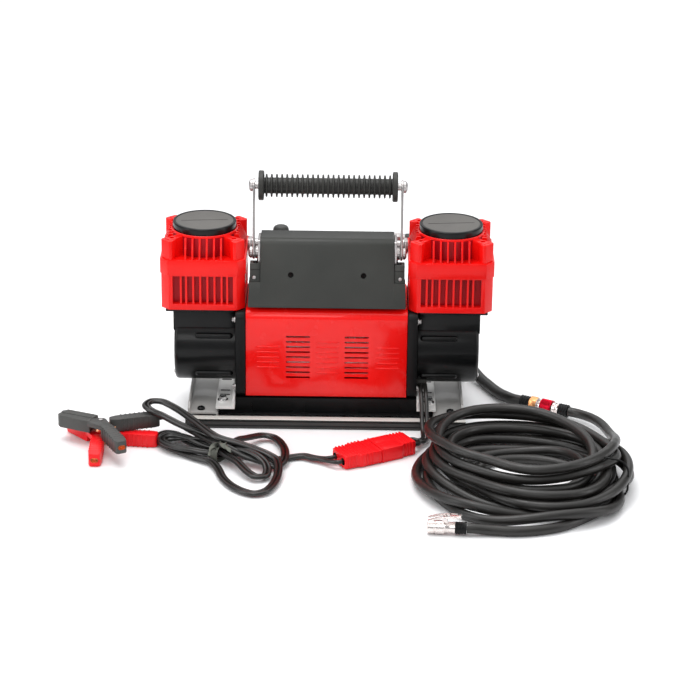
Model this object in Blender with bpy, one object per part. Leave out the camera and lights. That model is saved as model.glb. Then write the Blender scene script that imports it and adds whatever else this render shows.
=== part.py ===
"""Twin-cylinder 12 V air compressor with its supply lead, battery clamps and air hose.

Metres. +X is the object's right, +Y its rear, +Z up. The origin is on the floor under the
middle of the motor, whose shaft lies along X.
"""

import math

import bmesh
import bpy
from mathutils import Matrix, Vector

GAP = 0.0003
BEYOND = 0.010  # how far a cutter reaches past the piece that it cuts
SHARP_ANGLE = math.radians(35)
SIDES = ((-1, "left"), (1, "right"))

# Motor, shaft and covers
SHAFT_Z = 0.075
SHAFT_R = 0.005
COVER_HALF_LENGTH = 0.0905
COVER_HALF_DEPTH = 0.050
COVER_LOW_Z = 0.030
COVER_TOP_Z = 0.1332
COVER_EDGE_R = 0.012
COVER_WALL = 0.0022
CAN_OUTER_R = 0.044
CAN_INNER_R = 0.0385
PLATE_INNER_X = 0.0908
PLATE_OUTER_X = 0.102
PLATE_TOP_Z = 0.1306
BEARING_R = 0.013
GLAND_LOW = (-0.0400, 0.0365)
GLAND_HIGH = (0.1135, -0.0330, 0.0475)

# Crankcases, cylinders and heads
HEAD_X = 0.138
CRANKCASE_R = 0.042
CRANKCASE_CAVITY_R = 0.036
CRANKCASE_END_X = 0.1715
CRANKCASE_FLOOR_X = 0.1655
FLANGE_LOW_Z = 0.1272
HEAD_LOW_Z = 0.131
BAND_LOW_Z = 0.172
BAND_TOP_Z = 0.190
HEAD_TOP_Z = 0.213
HEAD_HALF_WIDTH = 0.0467
HEAD_CHAMFER = 0.009
CYLINDER_OUTER_R = 0.0298
CYLINDER_BORE_R = 0.0244
CYLINDER_TOP_Z = 0.185
CAP_R = 0.0355
CAP_TOP_Z = 0.222
CRANK_THROW = 0.012
CRANK_X = (0.110, 0.124)
CRANKPIN_R = 0.004
ROD_PLANE = (0.1322, 0.1438)

# Black top cover and handle
FASCIA_HALF_WIDTH = 0.088
BODY_HALF_WIDTH = 0.0743
FASCIA_LOW_Z = 0.1367
SHOULDER_Z = 0.188
TOP_COVER_Z = 0.210
TOP_COVER_REAR_Y = 0.004
FACE_LOW_Y = -0.050
FACE_BEND_Y = -0.0296
FACE_BEND_Z = 0.2035
TOP_EDGE_R = 0.009
FASCIA_REAR_Y = -0.0262
SWITCH_LOW = (-0.0100, -0.0010, 0.1595)
SWITCH_HIGH = (0.0100, 0.0075, 0.1715)
PIVOT_Y = -0.012
PIVOT_Z = 0.1885
GRIP_Y = 0.0
GRIP_Z = 0.263
ARM_X = (0.0813, 0.0838)
ARM_HALF_WIDTH = 0.0078
ROD_R = 0.004
PIVOT_PIN_R = 0.0033

# Air manifold
MANIFOLD_Y = 0.014
MANIFOLD_Z = 0.189
OUTLET_END_X = 0.088
OUTLET_Z = 0.180

# Base frame
RAIL_HALF_LENGTH = 0.1575
RAIL_Y = (0.065, 0.075)
RAIL_TOP_Z = 0.012
CHANNEL_X = (0.1213, 0.155)
CHANNEL_TOP_Z = 0.0155
CRADLE_TOP_Z = 0.0277
BRACKET_LOW_Z = 0.0193

# Cords
STRAND_R = 0.0024
SUPPLY_PAIR_R = 0.0044
LEADER_R = 0.0065
AIR_HOSE_R = 0.00535
COIL_CENTRE = (0.212, -0.214)
COIL_RADII = (0.062, 0.116)
COIL_HEIGHT = 0.047


# ---------------------------------------------------------------- materials


def material(name, colour, roughness, metallic=0.0):
    made = bpy.data.materials.new(name)
    made.use_nodes = True
    shader = made.node_tree.nodes["Principled BSDF"]
    shader.inputs["Base Color"].default_value = (*colour, 1.0)
    shader.inputs["Roughness"].default_value = roughness
    shader.inputs["Metallic"].default_value = metallic
    made.diffuse_color = (*colour, 1.0)
    return made


def make_materials():
    return {
        "red_paint": material("red_paint", (0.72, 0.012, 0.012), 0.25),
        "black_paint": material("black_paint", (0.012, 0.012, 0.013), 0.35),
        "grey_plastic": material("grey_plastic", (0.035, 0.033, 0.032), 0.45),
        "zinc": material("zinc", (0.55, 0.55, 0.56), 0.35, 1.0),
        "steel": material("steel", (0.5, 0.5, 0.5), 0.3, 1.0),
        "aluminium": material("aluminium", (0.75, 0.75, 0.76), 0.4, 1.0),
        "copper": material("copper", (0.75, 0.34, 0.18), 0.35, 1.0),
        "brass": material("brass", (0.86, 0.50, 0.20), 0.3, 1.0),
        "rubber": material("rubber", (0.018, 0.017, 0.016), 0.55),
        "red_plastic": material("red_plastic", (0.75, 0.015, 0.02), 0.4),
        "chrome": material("chrome", (0.8, 0.8, 0.8), 0.12, 1.0),
    }


# ---------------------------------------------------------------- modelling helpers


def clear_scene():
    for item in list(bpy.data.objects):
        bpy.data.objects.remove(item, do_unlink=True)


def to_object(name, mesh_data, paint, origin=(0, 0, 0), turn_z=0.0):
    """Makes an object of a bmesh given in the object's own frame, at origin, turned about Z."""
    bmesh.ops.recalc_face_normals(mesh_data, faces=mesh_data.faces)
    mesh = bpy.data.meshes.new(name)
    mesh_data.to_mesh(mesh)
    mesh_data.free()
    mesh.materials.append(paint)
    made = bpy.data.objects.new(name, mesh)
    made.location = origin
    made.rotation_euler = (0, 0, turn_z)
    bpy.context.scene.collection.objects.link(made)
    mesh.shade_smooth()
    mesh.set_sharp_from_angle(angle=SHARP_ANGLE)
    return made


def reorigin(item, origin):
    """Moves an object's origin without moving its shape."""
    shift = Vector(origin) - item.location
    item.data.transform(Matrix.Translation(-shift))
    item.location = origin
    return item


def combine(target, others, operation):
    """Applies a Boolean of target with each other object and removes those objects."""
    for other in others:
        step = target.modifiers.new(operation.lower(), "BOOLEAN")
        step.operation = operation
        step.solver = "EXACT"
        step.object = other
        bpy.context.view_layer.update()
        graph = bpy.context.evaluated_depsgraph_get()
        result = bpy.data.meshes.new_from_object(target.evaluated_get(graph))
        target.modifiers.clear()
        target.data = result
        bpy.data.objects.remove(other, do_unlink=True)
    target.data.shade_smooth()
    target.data.set_sharp_from_angle(angle=SHARP_ANGLE)
    return target


def cut(target, *others):
    return combine(target, others, "DIFFERENCE")


def join(target, *others):
    return combine(target, others, "UNION")


def add_box(mesh_data, low, high):
    low, high = Vector(low), Vector(high)
    place = Matrix.Translation((low + high) / 2) @ Matrix.Diagonal((*(high - low), 1.0))
    bmesh.ops.create_cube(mesh_data, size=1.0, matrix=place)


def box(name, low, high, paint, bevel=0.0):
    mesh_data = bmesh.new()
    add_box(mesh_data, low, high)
    if bevel:
        bmesh.ops.bevel(
            mesh_data,
            geom=mesh_data.edges[:],
            offset=bevel,
            offset_type="OFFSET",
            segments=1,
            profile=0.5,
            affect="EDGES",
        )
    return to_object(name, mesh_data, paint)


def boxes(name, corners, paint):
    mesh_data = bmesh.new()
    for low, high in corners:
        add_box(mesh_data, low, high)
    return to_object(name, mesh_data, paint)


def in_space(axis, along, first, second):
    """A point given along an axis and by its two other coordinates, in X, Y, Z order."""
    if axis == "X":
        return (along, first, second)
    if axis == "Y":
        return (first, along, second)
    return (first, second, along)


def add_prism(mesh_data, outline, axis, low, high):
    bottom = [mesh_data.verts.new(in_space(axis, low, *point)) for point in outline]
    top = [mesh_data.verts.new(in_space(axis, high, *point)) for point in outline]
    count = len(outline)
    mesh_data.faces.new(bottom[::-1])
    mesh_data.faces.new(top)
    for i in range(count):
        j = (i + 1) % count
        mesh_data.faces.new((bottom[i], bottom[j], top[j], top[i]))


def prism(name, outline, axis, low, high, paint, origin=(0, 0, 0), turn_z=0.0):
    mesh_data = bmesh.new()
    add_prism(mesh_data, outline, axis, low, high)
    return to_object(name, mesh_data, paint, origin, turn_z)


def add_turned(mesh_data, profile, axis, centre, segments):
    """Turns (along, radius) points about a line along an axis; a closed ring has no radius 0."""
    rings = []
    for along, radius in profile:
        count = segments if radius > 0 else 1
        ring = []
        for j in range(count):
            angle = 2 * math.pi * j / segments
            first = centre[0] + radius * math.cos(angle)
            second = centre[1] + radius * math.sin(angle)
            ring.append(mesh_data.verts.new(in_space(axis, along, first, second)))
        rings.append(ring)
    is_ring = all(radius > 0 for _, radius in profile)
    last = len(rings) if is_ring else len(rings) - 1
    for i in range(last):
        near, far = rings[i], rings[(i + 1) % len(rings)]
        for j in range(segments):
            k = (j + 1) % segments
            corners = [near[j % len(near)], near[k % len(near)], far[k % len(far)], far[j % len(far)]]
            corners = list(dict.fromkeys(corners))
            if len(corners) > 2:
                mesh_data.faces.new(corners)


def turned(name, profile, axis, centre, paint, segments=32, origin=(0, 0, 0), turn_z=0.0):
    mesh_data = bmesh.new()
    add_turned(mesh_data, profile, axis, centre, segments)
    return to_object(name, mesh_data, paint, origin, turn_z)


def rod(name, axis, low, high, radius, centre, paint, segments=24):
    profile = [(low, 0), (low, radius), (high, radius), (high, 0)]
    return turned(name, profile, axis, centre, paint, segments)


def pipe(name, axis, low, high, inner, outer, centre, paint, segments=32):
    profile = [(low, inner), (low, outer), (high, outer), (high, inner)]
    return turned(name, profile, axis, centre, paint, segments)


def rounded(low, high, radius, corners=(1, 1, 1, 1), steps=4):
    """A rectangle's outline, anticlockwise from its lower right; corners says which are round."""
    centres = (
        (high[0] - radius, low[1] + radius, -90),
        (high[0] - radius, high[1] - radius, 0),
        (low[0] + radius, high[1] - radius, 90),
        (low[0] + radius, low[1] + radius, 180),
    )
    squares = ((high[0], low[1]), high, (low[0], high[1]), low)
    outline = []
    for (first, second, start), square, is_round in zip(centres, squares, corners):
        if not is_round:
            outline.append(tuple(square))
            continue
        for step in range(steps + 1):
            angle = math.radians(start + 90 * step / steps)
            outline.append((first + radius * math.cos(angle), second + radius * math.sin(angle)))
    return outline


def hull_outline(circles, steps=28):
    """The outline of the rubber band round some circles, each (x, y, radius)."""
    outline = []
    for step in range(steps):
        angle = 2 * math.pi * step / steps
        way = (math.cos(angle), math.sin(angle))
        x, y, radius = max(circles, key=lambda c: c[0] * way[0] + c[1] * way[1] + c[2])
        outline.append((x + radius * way[0], y + radius * way[1]))
    return outline


def mirrored(side, low, high):
    """A span of distances from the middle as a span of X on one side, in rising order."""
    return (low, high) if side > 0 else (-high, -low)


# ---------------------------------------------------------------- smooth cord routes


def smooth_route(points, radius):
    """Points along one smooth curve through the given ones, a few diameters apart, and one near
    each end, so that the cord's end faces stand square to its ends."""
    knots = [Vector(point) for point in points]
    knots = [2 * knots[0] - knots[1]] + knots + [2 * knots[-1] - knots[-2]]
    dense = []
    for a, b, c, d in zip(knots, knots[1:], knots[2:], knots[3:]):
        for step in range(24):
            t = step / 24
            bend = 2 * a - 5 * b + 4 * c - d
            twist = 3 * b - a - 3 * c + d
            dense.append(0.5 * (2 * b + (c - a) * t + bend * t**2 + twist * t**3))
    dense.append(knots[-2])
    walked = [0.0]
    for p, q in zip(dense, dense[1:]):
        walked.append(walked[-1] + (q - p).length)
    total = walked[-1]
    count = max(2, round(total / (5 * radius)))
    stub = radius / 2
    stops = [0.0, stub] + [total * i / count for i in range(1, count)] + [total - stub, total]
    route = []
    for stop in stops:
        i = max(j for j in range(len(walked) - 1) if walked[j] <= stop)
        share = (stop - walked[i]) / (walked[i + 1] - walked[i])
        route.append(dense[i].lerp(dense[i + 1], share))
    return route


def beyond(start, turn, distance):
    """The point at a distance from start, level with it, in the direction turned about Z."""
    return (start[0] + distance * math.cos(turn), start[1] + distance * math.sin(turn), start[2])


def tube(name, points, radius, paint, resolution=2):
    curve = bpy.data.curves.new(name, "CURVE")
    curve.dimensions = "3D"
    curve.bevel_depth = radius
    curve.bevel_resolution = resolution
    curve.use_fill_caps = True
    route = smooth_route(points, radius)
    spline = curve.splines.new("POLY")
    spline.points.add(len(route) - 1)
    for knot, point in zip(spline.points, route):
        knot.co = (*point, 1.0)
    curve.materials.append(paint)
    made = bpy.data.objects.new(name, curve)
    bpy.context.scene.collection.objects.link(made)
    return made


# ---------------------------------------------------------------- base frame


def make_base(paint):
    for sign, name in ((-1, "front_rail"), (1, "rear_rail")):
        low_y, high_y = mirrored(sign, *RAIL_Y)
        low = (-RAIL_HALF_LENGTH, low_y, 0)
        high = (RAIL_HALF_LENGTH, high_y, RAIL_TOP_Z)
        box(name, low, high, paint["grey_plastic"], bevel=0.001)
    for side, word in SIDES:
        make_side_channel(side, word, paint)
        make_mount_bracket(side, word, paint)
    make_cradle(paint)


def make_side_channel(side, word, paint):
    """An upside-down channel between the rails, with an upturned lip along its outer edge."""
    reach = RAIL_Y[0] - GAP
    wall = 0.0025
    low_x, high_x = CHANNEL_X
    lip_z = CHANNEL_TOP_Z + 0.011
    leg_z = 0.002
    outline = [
        (low_x, leg_z),
        (low_x + wall, leg_z),
        (low_x + wall, CHANNEL_TOP_Z - wall),
        (high_x - wall, CHANNEL_TOP_Z - wall),
        (high_x - wall, leg_z),
        (high_x, leg_z),
        (high_x, lip_z),
        (high_x - wall, lip_z),
        (high_x - wall, CHANNEL_TOP_Z),
        (low_x, CHANNEL_TOP_Z),
    ]
    outline = [(side * x, z) for x, z in outline]
    prism(f"side_channel_{word}", outline, "Y", -reach, reach, paint["grey_plastic"])


def make_cradle(paint):
    """The pedestal under the motor: a tall middle and a low step for each mount bracket."""
    step_x = CHANNEL_X[0] - GAP
    middle_x = PLATE_OUTER_X
    low_z = 0.007
    step_z = BRACKET_LOW_Z - GAP
    half_depth = COVER_HALF_DEPTH + 0.0005
    outline = [
        (-step_x, low_z),
        (step_x, low_z),
        (step_x, step_z),
        (middle_x, step_z),
        (middle_x, CRADLE_TOP_Z),
        (-middle_x, CRADLE_TOP_Z),
        (-middle_x, step_z),
        (-step_x, step_z),
    ]
    prism("motor_cradle", outline, "Y", -half_depth, half_depth, paint["black_paint"])


def make_mount_bracket(side, word, paint):
    """A bent zinc plate on the cradle's step, its upturned flange against the end plate."""
    wall = 0.0028
    low_x, high_x = PLATE_OUTER_X + GAP, 0.124
    low_z, flange_z = BRACKET_LOW_Z, 0.0318
    reach = RAIL_Y[0] - 0.0005
    outline = [
        (low_x, low_z),
        (high_x, low_z),
        (high_x, low_z + wall),
        (low_x + wall, low_z + wall),
        (low_x + wall, flange_z),
        (low_x, flange_z),
    ]
    outline = [(side * x, z) for x, z in outline]
    bracket = prism(f"mount_bracket_{word}", outline, "Y", -reach, reach, paint["zinc"])
    washer_r, head_r = 0.0075, 0.0055
    low = low_z + wall - 0.0005
    high = low + 0.006
    profile = [(low, 0), (low, washer_r), (low + 0.002, washer_r), (high, head_r), (high, 0)]
    bolts = []
    for y in (-0.045, 0.045):
        bolts.append(turned("bolt", profile, "Z", (side * 0.1165, y), paint["zinc"], segments=12))
    join(bracket, *bolts)


# ---------------------------------------------------------------- motor


def make_motor(paint):
    centre = (0, SHAFT_Z)
    reach = COVER_HALF_LENGTH - 0.001
    pipe("motor_can", "X", -reach, reach, CAN_INNER_R, CAN_OUTER_R, centre, paint["steel"])
    make_motor_cover(paint)
    sunk = 0.0004
    for side, word in SIDES:
        make_end_plate(side, word, paint)
        low, high = mirrored(side, PLATE_INNER_X + sunk, PLATE_OUTER_X - sunk)
        inner = SHAFT_R + GAP
        outer = BEARING_R - GAP
        pipe(f"bearing_{word}", "X", low, high, inner, outer, centre, paint["steel"])
    make_rotor(paint)


def make_motor_cover(paint):
    """The red folded cover: front, top and rear in one sheet, open underneath, with slots."""
    low = (-COVER_HALF_DEPTH, COVER_LOW_Z)
    high = (COVER_HALF_DEPTH, COVER_TOP_Z)
    outer = rounded(low, high, COVER_EDGE_R, corners=(0, 1, 1, 0), steps=5)
    inner_low = (low[0] + COVER_WALL, COVER_LOW_Z - BEYOND)
    inner_high = (high[0] - COVER_WALL, high[1] - COVER_WALL)
    inner = rounded(inner_low, inner_high, COVER_EDGE_R - COVER_WALL, corners=(0, 1, 1, 0), steps=5)
    reach = COVER_HALF_LENGTH
    cover = prism("motor_cover", outer, "X", -reach, reach, paint["red_paint"])
    hollow = prism("hollow", inner, "X", -reach - BEYOND, reach + BEYOND, paint["red_paint"])
    cut(cover, hollow)
    slot_half, slot_width, pitch, first_z = 0.0135, 0.0016, 0.0058, 0.0508
    reach_y = COVER_HALF_DEPTH + BEYOND
    slots = []
    for middle_x in (-0.0318, 0.0338):
        for row in range(9):
            low_z = first_z + row * pitch - slot_width / 2
            low = (middle_x - slot_half, -reach_y, low_z)
            slots.append((low, (middle_x + slot_half, reach_y, low_z + slot_width)))
    cut(cover, boxes("slots", slots, paint["red_paint"]))


def make_end_plate(side, word, paint):
    low, high = mirrored(side, PLATE_INNER_X, PLATE_OUTER_X)
    half = COVER_HALF_DEPTH + 0.0012
    outline = rounded((-half, CRADLE_TOP_Z + GAP), (half, PLATE_TOP_Z), 0.008)
    plate = prism(f"end_plate_{word}", outline, "X", low, high, paint["black_paint"])
    bore = rod("bore", "X", low - BEYOND, high + BEYOND, BEARING_R, (0, SHAFT_Z), paint["steel"], 32)
    cut(plate, bore)
    if side > 0:
        join(plate, box("gland", (high - 0.001, *GLAND_LOW), GLAND_HIGH, paint["rubber"]))


def make_rotor(paint):
    centre = (0, SHAFT_Z)
    axis_point = (0, 0, SHAFT_Z)
    inner = SHAFT_R + GAP
    reach = CRANK_X[1]
    shaft = rod("motor_shaft", "X", -reach, reach, SHAFT_R, centre, paint["steel"])
    reorigin(shaft, axis_point)
    teeth = 12
    tip_r, root_r, half_length = 0.036, 0.027, 0.045
    tooth_shape = ((0.0, tip_r), (0.36, tip_r), (0.62, tip_r), (0.66, root_r), (0.96, root_r))
    outline = []
    for tooth in range(teeth):
        for share, radius in tooth_shape:
            angle = 2 * math.pi * (tooth + share) / teeth
            outline.append((radius * math.cos(angle), SHAFT_Z + radius * math.sin(angle)))
    armature = prism("armature", outline, "X", -half_length, half_length, paint["steel"])
    bore_reach = half_length + BEYOND
    cut(armature, rod("bore", "X", -bore_reach, bore_reach, inner, centre, paint["steel"]))
    reorigin(armature, axis_point)
    commutator = pipe("commutator", "X", 0.0500, 0.0660, inner, 0.013, centre, paint["copper"], 24)
    reorigin(commutator, axis_point)
    make_fan(paint)
    for side, word in SIDES:
        make_crank(side, word, paint)


def make_fan(paint):
    """A hub with flat blades, which blows air over the windings."""
    centre = (0, SHAFT_Z)
    low, high, hub_r, tip_r = -0.080, -0.066, 0.011, 0.035
    fan = pipe("cooling_fan", "X", low, high, SHAFT_R + GAP, hub_r, centre, paint["rubber"], 24)
    count = 7
    half_thick, inset = 0.001, 0.001
    blades = bmesh.new()
    for blade in range(count):
        turn = Matrix.Rotation(2 * math.pi * blade / count, 4, "X")
        turn = Matrix.Translation((0, 0, SHAFT_Z)) @ turn
        start = len(blades.verts)
        root = (low + inset, -half_thick, hub_r - inset)
        add_box(blades, root, (high - inset, half_thick, tip_r))
        blades.verts.ensure_lookup_table()
        bmesh.ops.transform(blades, matrix=turn, verts=blades.verts[start:])
    join(fan, to_object("blades", blades, paint["rubber"]))
    reorigin(fan, (0, 0, SHAFT_Z))


def make_crank(side, word, paint):
    """A counterweighted disc with a short crankpin, which stops just short of the rod's eye."""
    centre = (0, SHAFT_Z)
    low, high = mirrored(side, *CRANK_X)
    crank = pipe(f"crank_{word}", "X", low, high, SHAFT_R + GAP, 0.017, centre, paint["steel"])
    weight_r, inner_r = 0.026, 0.012
    outline = []
    for radius, angles in ((weight_r, range(195, 350, 15)), (inner_r, range(345, 190, -15))):
        for degrees in angles:
            angle = math.radians(degrees)
            outline.append((radius * math.cos(angle), SHAFT_Z + radius * math.sin(angle)))
    weight_low, weight_high = mirrored(side, CRANK_X[0] + 0.001, CRANK_X[1] - 0.001)
    weight = prism("weight", outline, "X", weight_low, weight_high, paint["steel"])
    pin_low, pin_high = mirrored(side, CRANK_X[1] - 0.004, ROD_PLANE[0] - 0.0007)
    pin_centre = (0, SHAFT_Z + CRANK_THROW)
    pin = rod("pin", "X", pin_low, pin_high, CRANKPIN_R, pin_centre, paint["steel"])
    join(crank, weight, pin)
    reorigin(crank, (0, 0, SHAFT_Z))


# ---------------------------------------------------------------- crankcases, cylinders, heads


def make_cylinders(paint):
    for side, word in SIDES:
        make_crankcase(side, word, paint)
        make_piston(side, word, paint)
        centre = (side * HEAD_X, 0)
        low, high = HEAD_LOW_Z + GAP, CYLINDER_TOP_Z
        inner, outer = CYLINDER_BORE_R, CYLINDER_OUTER_R
        pipe(f"cylinder_{word}", "Z", low, high, inner, outer, centre, paint["steel"])
        make_cylinder_head(side, word, paint)
        make_head_cap(side, word, paint)


def make_crankcase(side, word, paint):
    """A round crankcase with a square neck and flange for the cylinder, open towards the motor."""
    black = paint["black_paint"]
    inner_x = PLATE_OUTER_X + GAP
    edge = 0.003
    profile = [
        (CRANKCASE_FLOOR_X, 0),
        (CRANKCASE_FLOOR_X, CRANKCASE_CAVITY_R),
        (inner_x, CRANKCASE_CAVITY_R),
        (inner_x, CRANKCASE_R),
        (CRANKCASE_END_X - edge, CRANKCASE_R),
        (CRANKCASE_END_X, CRANKCASE_R - edge),
        (CRANKCASE_END_X, 0),
    ]
    profile = [(side * x, radius) for x, radius in profile]
    case = turned(f"crankcase_{word}", profile, "X", (0, SHAFT_Z), black, 40)
    neck_low, neck_high = mirrored(side, inner_x + 0.0005, CRANKCASE_END_X + 0.001)
    arch_r = (CRANKCASE_R + CRANKCASE_CAVITY_R) / 2
    neck_half, neck_top_z = 0.030, FLANGE_LOW_Z + 0.0008
    foot = math.acos(neck_half / arch_r)
    outline = [(neck_half, neck_top_z), (-neck_half, neck_top_z)]
    for step in range(9):
        angle = math.pi - foot - (math.pi - 2 * foot) * step / 8
        outline.append((arch_r * math.cos(angle), SHAFT_Z + arch_r * math.sin(angle)))
    neck = prism("neck", outline, "X", neck_low, neck_high, black)
    flange_half = 0.042
    flange_low, flange_high = mirrored(side, inner_x + 0.0010, HEAD_X + flange_half)
    low_corner = (flange_low, -flange_half, FLANGE_LOW_Z)
    flange = box("flange", low_corner, (flange_high, flange_half, HEAD_LOW_Z - GAP), black)
    rib_r = 0.0034
    rib_low, rib_high = mirrored(side, inner_x + 0.0015, 0.147)
    ribs = []
    for degrees in (31, -35):
        angle = math.radians(degrees)
        for face in (-1, 1):
            y = face * CRANKCASE_R * math.cos(angle)
            centre = (y, SHAFT_Z + CRANKCASE_R * math.sin(angle))
            ribs.append(rod("rib", "X", rib_low, rib_high, rib_r, centre, black, 12))
    join(case, neck, flange, *ribs)
    centre = (side * HEAD_X, 0)
    passage = rod("passage", "Z", SHAFT_Z + 0.010, HEAD_LOW_Z + BEYOND, CYLINDER_BORE_R, centre, black, 32)
    cut(case, passage)


def make_piston(side, word, paint):
    """A piston with its connecting rod, whose eye lies just outside the crankpin's end."""
    centre = (side * HEAD_X, 0)
    low_x, high_x = mirrored(side, *ROD_PLANE)
    land_r = CYLINDER_BORE_R - 0.0004
    groove_r = land_r - 0.0015
    skirt_z, groove_low_z, groove_top_z, crown_z = 0.1445, 0.1500, 0.1518, 0.1565
    profile = [
        (skirt_z, 0),
        (skirt_z, land_r),
        (groove_low_z, land_r),
        (groove_low_z, groove_r),
        (groove_top_z, groove_r),
        (groove_top_z, land_r),
        (crown_z, land_r),
        (crown_z, 0),
    ]
    light = paint["aluminium"]
    piston = turned(f"piston_{word}", profile, "Z", centre, light)
    stem_half, eye_inner, eye_outer = 0.006, 0.0065, 0.0125
    stem_low = (low_x + 0.001, -stem_half, SHAFT_Z + 0.009)
    stem = box("stem", stem_low, (high_x - 0.001, stem_half, skirt_z + 0.0015), light)
    eye = pipe("eye", "X", low_x, high_x, eye_inner, eye_outer, (0, SHAFT_Z), light, 24)
    join(piston, stem, eye)
    reorigin(piston, (side * HEAD_X, 0, SHAFT_Z))


def head_outline(side, grow=0.0):
    """The head's plan, a square with its corners cut off."""
    half = HEAD_HALF_WIDTH + grow
    chamfer = HEAD_CHAMFER
    corners = []
    for x_sign, y_sign in ((1, -1), (1, 1), (-1, 1), (-1, -1)):
        long_side = (x_sign * half, y_sign * (half - chamfer))
        short_side = (x_sign * (half - chamfer), y_sign * half)
        corners += [short_side, long_side] if x_sign * y_sign < 0 else [long_side, short_side]
    return [(side * HEAD_X + x, y) for x, y in corners]


def turn_to_face(mesh_data, start, side, quarter):
    """Turns the points made since start from the head's front face to one of its four faces."""
    mesh_data.verts.ensure_lookup_table()
    turn = Matrix.Rotation(math.pi / 2 * quarter, 4, "Z")
    turn = Matrix.Translation((side * HEAD_X, 0, 0)) @ turn
    bmesh.ops.transform(mesh_data, matrix=turn, verts=mesh_data.verts[start:])


def add_turned_box(mesh_data, side, quarter, low, high):
    """A box given against the head's front face, turned to one of its four faces."""
    start = len(mesh_data.verts)
    add_box(mesh_data, low, high)
    turn_to_face(mesh_data, start, side, quarter)


def add_slope(mesh_data, side, quarter, half_width, depths, z_span):
    """A wedge that leans a window's face inwards from its foot to its top."""
    start = len(mesh_data.verts)
    outer = -HEAD_HALF_WIDTH - BEYOND
    outline = [
        (outer, z_span[0]),
        (-HEAD_HALF_WIDTH + depths[0], z_span[0]),
        (-HEAD_HALF_WIDTH + depths[1], z_span[1]),
        (outer, z_span[1]),
    ]
    add_prism(mesh_data, outline, "X", -half_width, half_width)
    turn_to_face(mesh_data, start, side, quarter)


def make_cylinder_head(side, word, paint):
    """The red finned head: a band round its middle, sunk fins below it, sloping fins above."""
    red = paint["red_paint"]
    head = prism(f"cylinder_head_{word}", head_outline(side), "Z", HEAD_LOW_Z, HEAD_TOP_Z, red)
    band = prism("band", head_outline(side, 0.001), "Z", BAND_LOW_Z, BAND_TOP_Z, red)
    join(head, band)
    outside = -HEAD_HALF_WIDTH - BEYOND
    half_window, window_low_z, window_top_z = 0.0335, 0.138, 0.171
    recess = -HEAD_HALF_WIDTH + 0.002
    fin_pitch, slot_half, slot_inset, upper_slot_top_z = 0.00745, 0.0023, 0.001, 0.206
    slot_floor = -HEAD_HALF_WIDTH + 0.010
    slope_depths = (0.001, 0.0105)
    slope_z = (BAND_TOP_Z, HEAD_TOP_Z + 0.002)
    windows, slopes, slots = bmesh.new(), bmesh.new(), bmesh.new()
    for quarter in range(4):
        low = (-half_window, outside, window_low_z)
        add_turned_box(windows, side, quarter, low, (half_window, recess, window_top_z))
        add_slope(slopes, side, quarter, half_window + 0.0015, slope_depths, slope_z)
        for slot in range(-4, 5):
            middle = slot * fin_pitch
            start = max(middle - slot_half, -half_window)
            reach = min(middle + slot_half, half_window)
            low = (start, outside, window_low_z + slot_inset)
            add_turned_box(slots, side, quarter, low, (reach, slot_floor, window_top_z - slot_inset))
            if abs(slot) < 4:
                low = (middle - slot_half, outside, BAND_TOP_Z + 0.0006)
                high = (middle + slot_half, slot_floor + 0.001, upper_slot_top_z)
                add_turned_box(slots, side, quarter, low, high)
    cut(head, *(to_object("cutter", cutter, red) for cutter in (windows, slopes, slots)))
    bore_top_z, bore_r = CYLINDER_TOP_Z + GAP, CYLINDER_OUTER_R + GAP
    cut(head, rod("bore", "Z", HEAD_LOW_Z - BEYOND, bore_top_z, bore_r, (side * HEAD_X, 0), red, 32))


def make_head_cap(side, word, paint):
    """The round black cap with a raised rim round a flat top."""
    low = HEAD_TOP_Z + GAP
    edge, rim, sunk = 0.0015, 0.0032, 0.0008
    profile = [
        (low, 0),
        (low, CAP_R - 0.0005),
        (CAP_TOP_Z - edge, CAP_R),
        (CAP_TOP_Z, CAP_R - edge),
        (CAP_TOP_Z, CAP_R - rim),
        (CAP_TOP_Z - sunk, CAP_R - rim - sunk),
        (CAP_TOP_Z - sunk, 0),
    ]
    turned(f"head_cap_{word}", profile, "Z", (side * HEAD_X, 0), paint["grey_plastic"], 40)


# ---------------------------------------------------------------- top cover, manifold, handle


def face_y(z):
    """Where the leaning front face of the top cover stands at a height."""
    share = (z - FASCIA_LOW_Z) / (FACE_BEND_Z - FASCIA_LOW_Z)
    return FACE_LOW_Y + share * (FACE_BEND_Y - FACE_LOW_Y)


def cover_outline(inset, low_z):
    """The top cover's side view: leaning front, round top edge, flat top, upright rear."""
    radius = TOP_EDGE_R - inset
    lean = math.atan2(FACE_BEND_Y - FACE_LOW_Y, FACE_BEND_Z - FASCIA_LOW_Z)
    centre_y = FACE_BEND_Y + TOP_EDGE_R * math.cos(lean)
    centre_z = TOP_COVER_Z - TOP_EDGE_R
    outline = [(face_y(low_z) + inset, low_z)]
    steps = 5
    for step in range(steps + 1):
        angle = math.pi - lean - (math.pi / 2 - lean) * step / steps
        outline.append((centre_y + radius * math.cos(angle), centre_z + radius * math.sin(angle)))
    outline += [(TOP_COVER_REAR_Y - inset, TOP_COVER_Z - inset), (TOP_COVER_REAR_Y - inset, low_z)]
    return outline


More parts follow.
